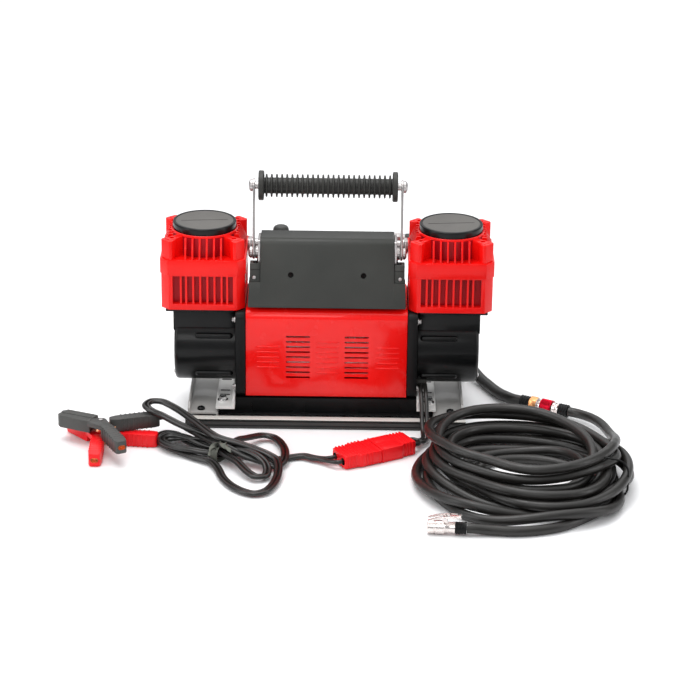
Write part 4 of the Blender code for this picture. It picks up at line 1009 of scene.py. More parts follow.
def head_block(paint):
    """The finned casting about its own middle, built once and copied to both sides."""
    red = paint["red"]
    face = HEAD_HALF_WIDTH
    head = prism("head", head_outline(), "Z", HEAD_LOW_Z, BAND_LOW_Z + 0.001, red, 0.0008)
    window_half, window_low_z, window_top_z, wall_depth = 0.0335, 0.138, 0.171, 0.0080
    windows = bmesh.new()
    low = (-window_half, -face - 0.01, window_low_z)
    add_box(windows, low, (window_half, -face + wall_depth, window_top_z))
    add_quarters(windows, 0)
    cut(head, to_object("windows", windows, red))
    band = prism("band", head_outline(0.0011), "Z", BAND_LOW_Z, BAND_TOP_Z, red, 0.0008)
    barrel = rod("barrel", "Z", BAND_TOP_Z - 0.003, HEAD_TOP_Z - 0.0004, 0.0368, (0, 0), red, 64, 0.0006)
    posts = bmesh.new()
    near, far, neck = 0.0342, 0.0372, 0.0385
    rim = face - 0.0007
    outline = [(rim, near), (rim, far), (far, rim), (near, rim), (0.0300, neck), (neck, 0.0300)]
    add_prism(posts, outline, "Z", BAND_TOP_Z - 0.002, HEAD_TOP_Z - 0.0016)
    add_quarters(posts, 0)
    posts = soften(to_object("posts", posts, red), 0.0007)
    webs = bmesh.new()
    add_box(webs, (0.028, -0.0044, BAND_TOP_Z - 0.001), (0.0555, 0.0044, HEAD_TOP_Z - 0.0009))
    bmesh.ops.rotate(webs, cent=(0, 0, 0), matrix=Matrix.Rotation(math.pi / 4, 3, "Z"), verts=webs.verts)
    add_quarters(webs, 0)
    webs = soften(to_object("webs", webs, red), 0.0006)
    upper = [
        (-0.0340, BAND_TOP_Z - 0.001),
        (-face + 0.0006, BAND_TOP_Z - 0.001),
        (-face + 0.0006, BAND_TOP_Z + 0.0060),
        (-0.0388, HEAD_TOP_Z - 0.0008),
        (-0.0340, HEAD_TOP_Z - 0.0008),
    ]
    pitch = 0.0079
    high_fins = fins("high_fins", [(i - 2.5) * pitch - 0.0006 for i in range(6)], 0.0020, upper, red)
    low_z, high_z = window_low_z - 0.001, window_top_z + 0.001
    lower = [
        (-face + wall_depth + 0.001, low_z),
        (-face + 0.0012, low_z),
        (-face + 0.0012, high_z),
        (-face + wall_depth + 0.001, high_z),
    ]
    inner_fins = [(i - 2.5) * pitch - 0.0011 for i in range(6)]
    outer_fins = [inner_fins[0] - 0.0062, inner_fins[-1] + 0.0059]
    low_fins = fins("low_fins", inner_fins + outer_fins, 0.0022, lower, red)
    join(head, band, barrel, posts, webs, high_fins, low_fins)
    pockets = bmesh.new()
    pocket_at = 0.0487 / math.sqrt(2)
    pocket_z, pocket_r = 0.2065, 0.0029
    profile = [(pocket_z, 0), (pocket_z, pocket_r), (0.2200, pocket_r), (0.2200, 0)]
    add_turned(pockets, profile, "Z", (pocket_at, pocket_at), 20)
    add_quarters(pockets, 0)
    cut(head, to_object("pockets", pockets, red))
    bore_r = CYLINDER_OUTER_R + GAP
    cut(head, rod("bore", "Z", HEAD_LOW_Z - 0.01, CYLINDER_TOP_Z + GAP, bore_r, (0, 0), red, 48))
    soften(head, 0.00035, 1, 50)
    # Upright faces inside the windows and round the barrel take the darker red: painted shade in the
    # recesses.
    head.data.materials.append(paint["red_painted_shade"])
    shade_slot = len(head.data.materials) - 1
    for one in head.data.polygons:
        reach = max(abs(one.center.x), abs(one.center.y))
        in_window = 0.1385 < one.center.z < 0.1705 and 0.030 < reach < HEAD_HALF_WIDTH - 0.0050
        on_barrel = BAND_TOP_Z + 0.0004 < one.center.z < 0.2100 and one.center.xy.length < 0.0372
        if (in_window or on_barrel) and abs(one.normal.z) < 0.5:
            one.material_index = shade_slot
    collar_r = CAP_R + 0.0004
    profile = [
        (HEAD_TOP_Z - 0.0010, collar_r),
        (HEAD_TOP_Z + 0.0012, collar_r),
        (HEAD_TOP_Z + 0.0016, collar_r + 0.0005),
        (HEAD_TOP_Z + 0.0012, collar_r + 0.0011),
        (HEAD_TOP_Z - 0.0010, collar_r + 0.0014),
    ]
    collar = turned("collar", profile, "Z", (0, 0), red, 64)
    # The screws take the last face's reach, further in than the pockets, and are hidden in the metal.
    screws = []
    for x_sign in (-1, 1):
        for y_sign in (-1, 1):
            place = (x_sign * reach, y_sign * reach, 0.2068)
            screws.append(screw("screw", "Z", place, 1, 0.0025, 0.0016, paint["steel"]))
    return gather(head, collar, *screws)


def cap_block(paint):
    """The round cap: a glossy rounded rim round a satin top with one straight groove."""
    low, high = HEAD_TOP_Z + GAP, CAP_TOP_Z
    rim_r = 0.0016
    profile = [(low, 0), (low, CAP_R - 0.0012), (low + 0.0008, CAP_R - 0.0004), (high - 0.0030, CAP_R)]
    for a in quarter_steps(5):
        profile.append((high - rim_r * (1 - math.sin(a)), CAP_R - rim_r * (1 - math.cos(a))))
    profile += [(high, CAP_R - 0.0030), (high - 0.0005, CAP_R - 0.0034), (high - 0.0005, 0)]
    cap = turned("cap", profile, "Z", (0, 0), [paint["black"], paint["cap_grey"]], 72)
    for face in cap.data.polygons:
        if face.center.z > high - 0.0007 and face.normal.z > 0.7 and face.center.xy.length < CAP_R - 0.0031:
            face.material_index = 1
    # The groove's walls and floor take the near-black finish: painted shade.
    groove = box("groove", (-0.0260, -0.0005, high - 0.0010), (0.0260, 0.0005, high + 0.01), paint["dark"])
    moved(groove, Matrix.Rotation(math.radians(6), 4, "Z"))
    return cut(cap, groove)


def make_heads(paint):
    head, cap = head_block(paint), cap_block(paint)
    for side, word in SIDES:
        place = Matrix.Translation((side * HEAD_X, 0, 0))
        flip = Matrix.Diagonal((side, 1, 1, 1))
        made = copy_of(head, f"finned_head_{word}", place @ flip)
        part(made, ROOT, "red_paint", f"cylinder_head_{word}")
        made = copy_of(cap, f"round_cap_{word}", place)
        part(made, ROOT, "grey_plastic", f"head_cap_{word}")
    for item in (head, cap):
        bpy.data.objects.remove(item, do_unlink=True)


# ---------------------------------------------------------------- crankcases


def capsule(name, axis, low, high, radius, centre, paint):
    """A rod with half-round ends."""
    profile = [(low, 0)]
    profile += [(low + radius * (1 - math.cos(a)), radius * math.sin(a)) for a in quarter_steps(5)[1:]]
    profile += [(high - radius * (1 - math.cos(a)), radius * math.sin(a)) for a in quarter_steps(5)[:0:-1]]
    profile += [(high, 0)]
    return turned(name, profile, axis, centre, paint, 20)


def make_crankcase(side, word, paint):
    black = paint["black"]
    inner_x = PLATE_OUTER_X + GAP
    edge = 0.0045
    profile = [(CRANKCASE_FLOOR_X, 0), (CRANKCASE_FLOOR_X, CRANKCASE_CAVITY_R)]
    profile += [(inner_x, CRANKCASE_CAVITY_R), (inner_x, CRANKCASE_R - 0.0006)]
    profile.append((inner_x + 0.0006, CRANKCASE_R))
    for a in quarter_steps(6)[::-1]:
        profile.append((CRANKCASE_END_X - edge * (1 - math.cos(a)), CRANKCASE_R - edge * (1 - math.sin(a))))
    profile += [
        (CRANKCASE_END_X, 0.0335),
        (CRANKCASE_END_X - 0.0008, 0.0330),
        (CRANKCASE_END_X - 0.0008, 0.0318),
        (CRANKCASE_END_X, 0.0313),
        (CRANKCASE_END_X, 0),
    ]
    profile = [(side * x, radius) for x, radius in profile]
    case = turned(f"crankcase_body_{word}", profile, "X", (0, SHAFT_Z), black, 72)
    neck_low, neck_high = mirrored(side, inner_x + 0.0005, CRANKCASE_END_X + 0.001)
    arch_r = (CRANKCASE_R + CRANKCASE_CAVITY_R) / 2
    neck_half, neck_top_z = 0.030, FLANGE_LOW_Z + 0.0008
    foot = math.acos(neck_half / arch_r)
    outline = [(neck_half, neck_top_z), (-neck_half, neck_top_z)]
    for step in range(13):
        angle = math.pi - foot - (math.pi - 2 * foot) * step / 12
        outline.append((arch_r * math.cos(angle), SHAFT_Z + arch_r * math.sin(angle)))
    neck = prism("neck", outline, "X", neck_low, neck_high, black, 0.0010)
    flange_half = 0.042
    flange_low, flange_high = mirrored(side, inner_x + 0.0010, HEAD_X + flange_half)
    corners = ((flange_low, -flange_half, FLANGE_LOW_Z), (flange_high, flange_half, HEAD_LOW_Z - GAP))
    flange = box("flange", *corners, black, 0.0010)
    rib_r = 0.0034
    rib_low, rib_high = mirrored(side, inner_x + 0.0030, 0.1480)
    ribs = []
    for degrees in (31, -35):
        angle = math.radians(degrees)
        for face in (-1, 1):
            centre = (face * CRANKCASE_R * math.cos(angle), SHAFT_Z + CRANKCASE_R * math.sin(angle))
            ribs.append(capsule("rib", "X", rib_low, rib_high, rib_r, centre, black))
    join(case, neck, flange, *ribs)
    centre = (side * HEAD_X, 0)
    cut(case, rod("passage", "Z", SHAFT_Z + 0.010, HEAD_LOW_Z + 0.01, CYLINDER_BORE_R, centre, black, 48))
    screws = []
    circle_r = 0.0365
    for quarter in range(4):
        angle = math.radians(45 + 90 * quarter)
        place = (side * CRANKCASE_END_X, circle_r * math.cos(angle), SHAFT_Z + circle_r * math.sin(angle))
        screws.append(screw("screw", "X", place, side, 0.0023, 0.0012, paint["steel"]))
    gather(case, *screws)
    part(case, ROOT, "black_paint", f"crankcase_{word}")


# ---------------------------------------------------------------- motor cover and end plates


def make_motor_cover(paint):
    """The red folded cover with two groups of slots, pressed lines beside them and turned-in edges."""
    red = paint["red_sheet"]
    low = (-COVER_HALF_DEPTH, COVER_LOW_Z)
    high = (COVER_HALF_DEPTH, COVER_TOP_Z)
    outer = rounded(low, high, COVER_EDGE_R, (0, 1, 1, 0), 10)
    inner_low = (low[0] + COVER_WALL, COVER_LOW_Z - 0.01)
    inner_high = (high[0] - COVER_WALL, high[1] - COVER_WALL)
    inner = rounded(inner_low, inner_high, COVER_EDGE_R - COVER_WALL, (0, 1, 1, 0), 10)
    reach = COVER_HALF_LENGTH
    cover = prism("motor_shroud", outer, "X", -reach, reach, red, 0.0007)
    cut(cover, prism("hollow", inner, "X", -reach - 0.01, reach + 0.01, red))
    lips = []
    for face in (-1, 1):
        near, far = sorted((face * (COVER_HALF_DEPTH - 0.0006), face * (COVER_HALF_DEPTH - 0.0062)))
        corners = ((-reach, near, COVER_LOW_Z - 0.0003), (reach, far, COVER_LOW_Z + 0.0016))
        lips.append(box("lip", *corners, red, 0.0006))
    slot_half, slot_width, pitch, first_z = 0.0135, 0.0024, 0.0061, 0.0530
    slots = bmesh.new()
    for middle_x in (-0.0318, 0.0338):
        for row in range(9):
            z = first_z + row * pitch
            ends = [(middle_x + sign * (slot_half - slot_width / 2), z, slot_width / 2) for sign in (-1, 1)]
            add_prism(slots, hull_outline(ends, 16), "Y", -COVER_HALF_DEPTH - 0.01, COVER_HALF_DEPTH + 0.01)
    cut(cover, to_object("slots", slots, red))
    join(cover, *lips)
    lines = bmesh.new()
    taper, line_r = 0.002, 0.00075
    for middle_x, rows in ((-0.0655, (2, 7)), (0.0010, (1, 8)), (0.0685, (2, 7))):
        for row in range(*rows):
            z = first_z + row * pitch
            for face in (-1, 1):
                profile = [(middle_x - slot_half, 0), (middle_x - slot_half + taper, line_r)]
                profile += [(middle_x + slot_half - taper, line_r), (middle_x + slot_half, 0)]
                add_turned(lines, profile, "X", (face * COVER_HALF_DEPTH, z), 12)
    gather(cover, to_object("lines", lines, red))
    part(cover, ROOT, "red_paint", "motor_cover")


def make_end_plate(side, word, paint):
    black = paint["black_satin"]
    low, high = mirrored(side, PLATE_INNER_X, PLATE_OUTER_X)
    half = COVER_HALF_DEPTH + 0.0012
    outline = rounded((-half, 0.0280), (half, PLATE_TOP_Z), 0.0095, steps=8)
    plate = prism(f"end_casting_{word}", outline, "X", low, high, black, 0.0010)
    cut(plate, rod("bore", "X", low - 0.01, high + 0.01, BEARING_R, (0, SHAFT_Z), black, 40))
    outer_x = side * PLATE_OUTER_X
    bolts = []
    for y in (-0.0437, 0.0437):
        for z in (0.1195, 0.0385):
            bolts.append(bolt("bolt", "X", (outer_x, y, z), side, 0.0050, 0.0038, paint["zinc"], 0.0036))
    if side > 0:
        corners = ((high - 0.001, -0.0400, 0.0365), (0.1135, -0.0330, 0.0475))
        bolts.append(box("gland", *corners, paint["rubber"], 0.0012))
    gather(plate, *bolts)
    part(plate, ROOT, "black_paint", f"end_plate_{word}")


# ---------------------------------------------------------------- top cover


def face_y(z):
    """How far back the cover's leaning front is at a height."""
    share = (z - FASCIA_LOW_Z) / (FACE_BEND_Z - FASCIA_LOW_Z)
    return FACE_LOW_Y + share * (FACE_BEND_Y - FACE_LOW_Y)


def cover_outline(inset, low_z):
    """The top cover's side view: leaning front, round top edge, flat top, upright rear."""
    radius = TOP_EDGE_R - inset
    lean = math.atan2(FACE_BEND_Y - FACE_LOW_Y, FACE_BEND_Z - FASCIA_LOW_Z)
    centre_y = FACE_BEND_Y + TOP_EDGE_R * math.cos(lean)
    centre_z = TOP_COVER_Z - TOP_EDGE_R
    outline = [(face_y(low_z) + inset, low_z)]
    steps = 10
    for step in range(steps + 1):
        angle = math.pi - lean - (math.pi / 2 - lean) * step / steps
        outline.append((centre_y + radius * math.cos(angle), centre_z + radius * math.sin(angle)))
    rear, top = TOP_COVER_REAR_Y - inset, TOP_COVER_Z - inset
    corner = 0.003
    for a in quarter_steps(4):
        outline.append((rear - corner + corner * math.sin(a), top - corner + corner * math.cos(a)))
    return outline + [(rear, low_z)]


def make_top_cover(paint):
    """The sheet cover: a face that narrows above its shoulders, with a riveted tab in each notch."""
    grey = paint["cover_grey"]
    wall = 0.002
    body_low = FASCIA_LOW_Z
    cover = prism("shroud_top", cover_outline(0, body_low), "X", -BODY_HALF_WIDTH, BODY_HALF_WIDTH, grey)
    shoulder = 0.1635
    fascia = [
        (face_y(FASCIA_LOW_Z), FASCIA_LOW_Z),
        (face_y(shoulder), shoulder),
        (FASCIA_REAR_Y, shoulder),
        (FASCIA_REAR_Y, FASCIA_LOW_Z),
    ]
    wide = prism("fascia", fascia, "X", -FASCIA_HALF_WIDTH, FASCIA_HALF_WIDTH, grey)
    for side in (-1, 1):
        lean = bmesh.new()
        outline = [(side * 0.0905, FASCIA_LOW_Z - 0.01), (side * FASCIA_HALF_WIDTH, FASCIA_LOW_Z - 0.01)]
        outline += [(side * 0.0868, shoulder + 0.01), (side * 0.0905, shoulder + 0.01)]
        add_prism(lean, outline, "Y", -0.08, 0.02)
        cut(wide, to_object("lean", lean, grey))
    join(cover, wide)
    soften(cover, 0.0007, 2, 50)
    reach = BODY_HALF_WIDTH - wall
    hollow = prism("hollow", cover_outline(wall, body_low - 0.005), "X", -reach, reach, grey)
    low_z, high_z = FASCIA_LOW_Z - 0.01, shoulder - wall
    inner = [
        (face_y(low_z) + wall, low_z),
        (face_y(high_z) + wall, high_z),
        (FASCIA_REAR_Y - wall, high_z),
        (FASCIA_REAR_Y - wall, low_z),
    ]
    inner_reach = FASCIA_HALF_WIDTH - wall - 0.0012
    join(hollow, prism("inner", inner, "X", -inner_reach, inner_reach, grey))
    cut(cover, hollow)
    hole_x, hole_z, hole_r = 0.0405, 0.1715, 0.0032
    holes = [rod("hole", "Y", -0.06, -0.02, hole_r, (x, hole_z), grey, 28) for x in (-hole_x, hole_x)]
    room = Vector((0.0005, 0.003, 0.0015))
    window = boxes("window", [(Vector(SWITCH_LOW) - room, Vector(SWITCH_HIGH) + room)], grey)
    cut(cover, *holes, window)
    tabs = []
    for side in (-1, 1):
        mesh_data = bmesh.new()
        inset = 0.0016
        outline = [
            (face_y(0.1625) + inset, 0.1625),
            (face_y(0.1765) + inset, 0.1765),
            (face_y(0.1825) + inset + 0.0012, 0.1825),
            (FASCIA_REAR_Y + 0.004, 0.1825),
            (FASCIA_REAR_Y + 0.004, 0.1625),
        ]
        low, high = mirrored(side, BODY_HALF_WIDTH + 0.0002, 0.0862)
        add_prism(mesh_data, outline, "X", low, high)
        tabs.append(soften(to_object("tab", mesh_data, grey), 0.0006))
        # A thin near-black strip along the tab's bend: painted shade in the crease.
        line_y = face_y(0.1765) + inset
        corners = ((low + 0.0002, line_y - 0.0004, 0.1763), (high - 0.0002, line_y + 0.002, 0.1767))
        tabs.append(box("bend_shade_strip", *corners, paint["dark"]))
        place = (side * 0.0812, face_y(0.1680) + inset, 0.1680)
        tabs.append(screw("rivet", "Y", place, -1, 0.0021, 0.0013, paint["zinc"]))
        place = (side * 0.0800, -0.0300, 0.1824)
        tabs.append(screw("screw", "Z", place, 1, 0.0026, 0.0018, paint["black"]))
    screws = []
    for x in (-0.060, 0.060):
        for z in (0.150, 0.196):
            screws.append(screw("screw", "Y", (x, TOP_COVER_REAR_Y, z), 1, 0.0026, 0.0016, paint["black"]))
    gather(cover, *tabs, *screws)
    part(cover, ROOT, "grey_plastic", "top_cover")


# ---------------------------------------------------------------- handle


def make_handle(paint):
    rubber = paint["rubber"]
    centre = (GRIP_Y, GRIP_Z)
    end_x, flange_x, flange_r, core_r, rib_r = 0.0775, 0.0715, 0.0168, 0.0090, 0.0130
    pitch, rib_count = 0.00572, 25
    profile = [(-end_x, ROD_R + GAP), (-end_x, flange_r - 0.001), (-end_x + 0.001, flange_r)]
    profile += [(-flange_x - 0.001, flange_r), (-flange_x, flange_r - 0.001), (-flange_x, core_r)]
    first = -(rib_count - 1) / 2 * pitch
    for i in range(rib_count):
        x = first + i * pitch
        foot, crown = 0.00135, 0.00100
        profile += [(x - foot, core_r), (x - crown, rib_r - 0.0006), (x - crown * 0.4, rib_r)]
        profile += [(x + crown * 0.4, rib_r), (x + crown, rib_r - 0.0006), (x + foot, core_r)]
    profile += [(-x, radius) for x, radius in reversed(profile[:6])]
    grip = turned("ribbed_grip", profile, "X", centre, rubber, 48)
    part(grip, "handle", "rubber", "handle_grip")
    zinc = paint["zinc"]
    head_in, head_out, head_r = ARM_X[1] + GAP, ARM_X[1] + 0.0048, 0.0068
    profile = [(-head_out, 0), (-head_out, head_r * 0.45), (-head_out + 0.0009, head_r * 0.8)]
    profile += [(-head_out + 0.0022, head_r), (-head_in, head_r), (-head_in, ROD_R)]
    profile += [(-x, radius) for x, radius in reversed(profile)]
    bar = turned("grip_bolt", profile, "X", centre, zinc, 40)
    part(bar, "handle", "zinc", "handle_rod")
    for side, word in SIDES:
        low, high = mirrored(side, *ARM_X)
        ends = [(PIVOT_Y, PIVOT_Z, ARM_HALF_WIDTH), (GRIP_Y, GRIP_Z, ARM_HALF_WIDTH)]
        arm = prism(f"handle_strap_{word}", hull_outline(ends, 56), "X", low, high, zinc, 0.0004)
        for (y, z, _), pin_r in zip(ends, (PIVOT_PIN_R + 0.0001, ROD_R)):
            cut(arm, rod("hole", "X", low - 0.01, high + 0.01, pin_r + GAP, (y, z), zinc, 32))
        part(arm, "handle", "zinc", f"handle_arm_{word}")
        make_handle_bracket(side, word, paint)


def make_handle_bracket(side, word, paint):
    """A plate on the cover's side with a boss and the bolt on which the handle turns."""
    zinc = paint["zinc"]
    plate_x = 0.0773
    low, high = mirrored(side, BODY_HALF_WIDTH + GAP, plate_x)
    outline = rounded((-0.0300, 0.1790), (-0.0005, 0.2085), 0.0035, steps=5)
    bracket = prism(f"pivot_plate_{word}", outline, "X", low, high, zinc, 0.0004)
    root_x, boss_x, boss_r = plate_x - 0.0008, ARM_X[0] - GAP, 0.0072
    head_x, top_x, head_r = ARM_X[1] + GAP, ARM_X[1] + 0.0046, 0.0066
    profile = [
        (root_x, 0),
        (root_x, boss_r),
        (boss_x - 0.0006, boss_r),
        (boss_x, boss_r - 0.0006),
        (boss_x, PIVOT_PIN_R),
        (head_x, PIVOT_PIN_R),
        (head_x, head_r),
        (top_x - 0.0016, head_r),
        (top_x, head_r - 0.0024),
        (top_x, 0),
    ]
    profile = [(side * x, radius) for x, radius in profile]
    pivot = turned("pivot", profile, "X", (PIVOT_Y, PIVOT_Z), zinc, 40)
    foot = screw("foot_screw", "X", (side * plate_x, -0.0245, 0.1840), side, 0.0022, 0.0014, paint["black"])
    gather(bracket, pivot, foot)
    part(bracket, ROOT, "zinc", f"handle_bracket_{word}")


# ---------------------------------------------------------------- air manifold and switches


def make_manifold(paint):
    """The crossover pipe with its nuts, a branch with a bent outlet, and the pressure switch."""
    nickel = paint["zinc"]
    end_x = HEAD_X - HEAD_HALF_WIDTH - 0.001 - GAP
    pipe_r, collar_r, nut_x = 0.0062, 0.0078, end_x - 0.0045
    profile = [(-end_x, 0), (-end_x, collar_r), (-nut_x + 0.0010, collar_r), (-nut_x, pipe_r)]
    for ring_x in (-0.0700, -0.0660, 0.0660, 0.0700):
        profile += [(ring_x - 0.0010, pipe_r), (ring_x - 0.0006, pipe_r + 0.0006)]
        profile += [(ring_x + 0.0006, pipe_r + 0.0006), (ring_x + 0.0010, pipe_r)]
    profile += [(-x, radius) for x, radius in reversed(profile[:4])]
    pipe = turned("crossover_pipe", profile, "X", (MANIFOLD_Y, MANIFOLD_Z), nickel, 36)
    for side in (-1, 1):
        low, high = mirrored(side, nut_x + 0.0003, end_x - 0.0003)
        outline = hexagon((MANIFOLD_Y, MANIFOLD_Z), 0.0160, 10)
        gather(pipe, prism("nut", outline, "X", low, high, nickel, 0.0005))
    branch_x, outlet_y = 0.054, 0.062
    block = box("block", (branch_x - 0.010, 0.006, 0.171), (branch_x + 0.010, 0.023, 0.198), nickel, 0.0012)
    branch = rod("branch", "Y", 0.020, outlet_y, pipe_r, (branch_x, OUTLET_Z), nickel, 32)
    low, high = OUTLET_Z - 0.0064, OUTLET_Z + 0.0064
    bend = rod("bend", "Z", low, high, 0.0068, (branch_x, outlet_y), nickel, 28, 0.003)
    outlet = rod("outlet", "X", branch_x, 0.088, pipe_r, (outlet_y, OUTLET_Z), nickel, 32, 0.0006)
    seat = box("seat", (-0.062, 0.0085, 0.1835), (-0.044, 0.0215, 0.1965), nickel, 0.0010)
    nut = prism("outlet_nut", hexagon((outlet_y, OUTLET_Z), 0.0132, 20), "X", 0.0745, 0.0820, nickel, 0.0006)
    gather(pipe, block, branch, bend, outlet, seat, nut)
    part(pipe, ROOT, "zinc", "air_manifold")
    low, body_r, crown_r = 0.1968, 0.0090, 0.005
    profile = [(low, 0), (low, 0.0050), (0.2010, 0.0050), (0.2012, body_r - 0.0006), (0.2018, body_r)]
    profile += [(0.2040, body_r), (0.2043, body_r - 0.0005), (0.2047, body_r - 0.0005), (0.2050, body_r)]
    for a in quarter_steps(5):
        profile.append((0.2110 - crown_r * (1 - math.sin(a)), body_r - crown_r * (1 - math.cos(a))))
    profile.append((0.2112, 0))
    dome = turned("pressure_switch_body", profile, "Z", (-0.053, 0.015), paint["vinyl_grey"], 40)
    part(dome, ROOT, "grey_plastic", "pressure_switch")


# ---------------------------------------------------------------- base frame


RAIL_HALF_LENGTH = 0.1575
RAIL_Y = (0.065, 0.075)
CHANNEL_X = (0.1213, 0.155)
CHANNEL_TOP_Z = 0.0155


def make_rail(face, word, paint):
    """A folded rail: rounded top corners, top faces painted pale as a highlight, a groove under its top
    painted black inside as a shadow line and a pressed groove, also painted black inside as shade.
    """
    near, far = sorted((face * RAIL_Y[0], face * RAIL_Y[1]))
    reach = RAIL_HALF_LENGTH
    front = face * RAIL_Y[1]
    outer = rounded((near, 0.0), (far, 0.012), 0.0016, steps=3)
    rail = prism(f"base_{word}", outer, "X", -reach, reach, [paint["rail_dark"], paint["rail_painted_highlight"]], 0.0004)
    # Upward faces along the top take the pale paint: a painted highlight.
    for one in rail.data.polygons:
        one.material_index = 1 if one.center.z > 0.0104 and one.normal.z > 0.3 else 0
    # The grooves' walls take the near-black finish: painted shade.
    grooves = bmesh.new()
    for z, half, depth in ((0.0093, 0.00055, 0.0011), (0.0040, 0.0008, 0.0006)):
        low, high = sorted((front - face * depth, front + face * 0.01))
        add_box(grooves, (-reach - 0.01, low, z - half), (reach + 0.01, high, z + half))
    cut(rail, to_object("grooves", grooves, paint["dark"]))
    part(rail, ROOT, "frame_paint", f"{word}")


def make_side_channel(side, word, paint):
    """A pressed tray between the rails, its outer lip cut away at both ends."""
    reach = RAIL_Y[0] - GAP
    wall, leg_z, lip_z = 0.0025, 0.002, CHANNEL_TOP_Z + 0.011
    low_x, high_x = CHANNEL_X
    outline = [
        (low_x, leg_z),
        (low_x + wall, leg_z),
        (low_x + wall, CHANNEL_TOP_Z - wall),
        (high_x - wall, CHANNEL_TOP_Z - wall),
        (high_x - wall, leg_z),
        (high_x, leg_z),
        (high_x, lip_z - 0.0012),
        (high_x - 0.0006, lip_z),
        (high_x - wall + 0.0006, lip_z),
        (high_x - wall, lip_z - 0.0012),
        (high_x - wall, CHANNEL_TOP_Z + 0.0014),
        (high_x - wall - 0.0014, CHANNEL_TOP_Z),
        (low_x + 0.0012, CHANNEL_TOP_Z),
        (low_x, CHANNEL_TOP_Z - 0.0012),
    ]
    outline = [(side * x, z) for x, z in outline]
    # The side trays take the mid grey: a painted reflection on their black sheet.
    channel = prism(f"side_tray_{word}", outline, "Y", -reach, reach, paint["frame_painted_reflection"], 0.0004)
    corner = bmesh.new()
    middle_z = CHANNEL_TOP_Z + 0.0035
    for face in (-1, 1):
        edge = [(face * (reach + 0.01), middle_z), (face * (reach + 0.01), lip_z + 0.01)]
        edge += [(face * (reach - 0.0075), lip_z + 0.01), (face * (reach - 0.0062), lip_z - 0.0010)]
        edge += [(face * (reach - 0.0018), lip_z - 0.0048), (face * (reach + 0.0010), middle_z)]
        low, high = mirrored(side, high_x - wall - 0.001, high_x + 0.01)
        add_prism(corner, edge, "X", low, high)
    cut(channel, to_object("corners", corner, paint["frame_painted_reflection"]))
    for y in (-0.056, 0.056):
        place = (side * 0.1405, y, CHANNEL_TOP_Z)
        gather(channel, screw("screw", "Z", place, 1, 0.0044, 0.0034, paint["black"]))
    part(channel, ROOT, "frame_paint", f"side_channel_{word}")


def make_mount_bracket(side, word, paint):
    """A bent zinc plate with two open slots and a hexagon bolt at each end."""
    zinc = paint["bright_zinc"]
    wall, low_z, flange_z = 0.0028, 0.0193, 0.0318
    low_x, high_x = PLATE_OUTER_X + GAP, 0.124
    reach = RAIL_Y[0] - 0.0005
    outline = [
        (low_x, low_z),
        (high_x - 0.0008, low_z),
        (high_x, low_z + 0.0008),
        (high_x, low_z + wall - 0.0008),
        (high_x - 0.0008, low_z + wall),
        (low_x + wall + 0.0014, low_z + wall),
        (low_x + wall, low_z + wall + 0.0014),
        (low_x + wall, flange_z - 0.0006),
        (low_x + wall - 0.0006, flange_z),
        (low_x, flange_z),
    ]
    outline = [(side * x, z) for x, z in outline]
    bracket = prism(f"mount_foot_{word}", outline, "Y", -reach, reach, zinc, 0.0003)
    slots = bmesh.new()
    middle_x = side * 0.1150
    for face in (-1, 1):
        for y in (0.0160, 0.0285):
            ends = [(middle_x + along, face * y, 0.0016) for along in (-0.0042, 0.0042)]
            add_prism(slots, hull_outline(ends, 20), "Z", low_z + wall - 0.0014, low_z + 0.01)
    # The slots' walls take the near-black finish: painted shade.
    cut(bracket, to_object("slots", slots, paint["dark"]))
    for y in (-0.045, 0.045):
        place = (side * 0.1165, y, low_z + wall)
        gather(bracket, bolt("bolt", "Z", place, 1, 0.0078, 0.0052, paint["steel"], 0.0062))
    part(bracket, ROOT, "zinc", f"mount_bracket_{word}")


def make_cradle(paint):
    """The pedestal under the motor, its edges softened and its front pressed inwards."""
    black = paint["black_satin"]
    step_x, middle_x, low_z, step_z, top_z = 0.1210, 0.102, 0.007, 0.0190, 0.0277
    outline = [
        (-step_x, low_z),
        (step_x, low_z),
        (step_x, step_z),
        (middle_x, step_z),
        (middle_x, top_z),
        (-middle_x, top_z),
        (-middle_x, step_z),
        (-step_x, step_z),
    ]
    half = COVER_HALF_DEPTH + 0.0005
    cradle = prism("motor_pedestal", outline, "Y", -half, half, black, 0.0008)
    panels = bmesh.new()
    for face in (-1, 1):
        for middle in (-0.060, 0.0, 0.060):
            low, high = sorted((face * (half - 0.0015), face * (half + 0.01)))
            outline = rounded((middle - 0.024, 0.0100), (middle + 0.024, 0.0240), 0.003)
            add_prism(panels, outline, "Y", low, high)
    cut(cradle, to_object("panels", panels, black))
    part(cradle, ROOT, "black_paint", "motor_cradle")


# ---------------------------------------------------------------- plug pair, clamps and ties


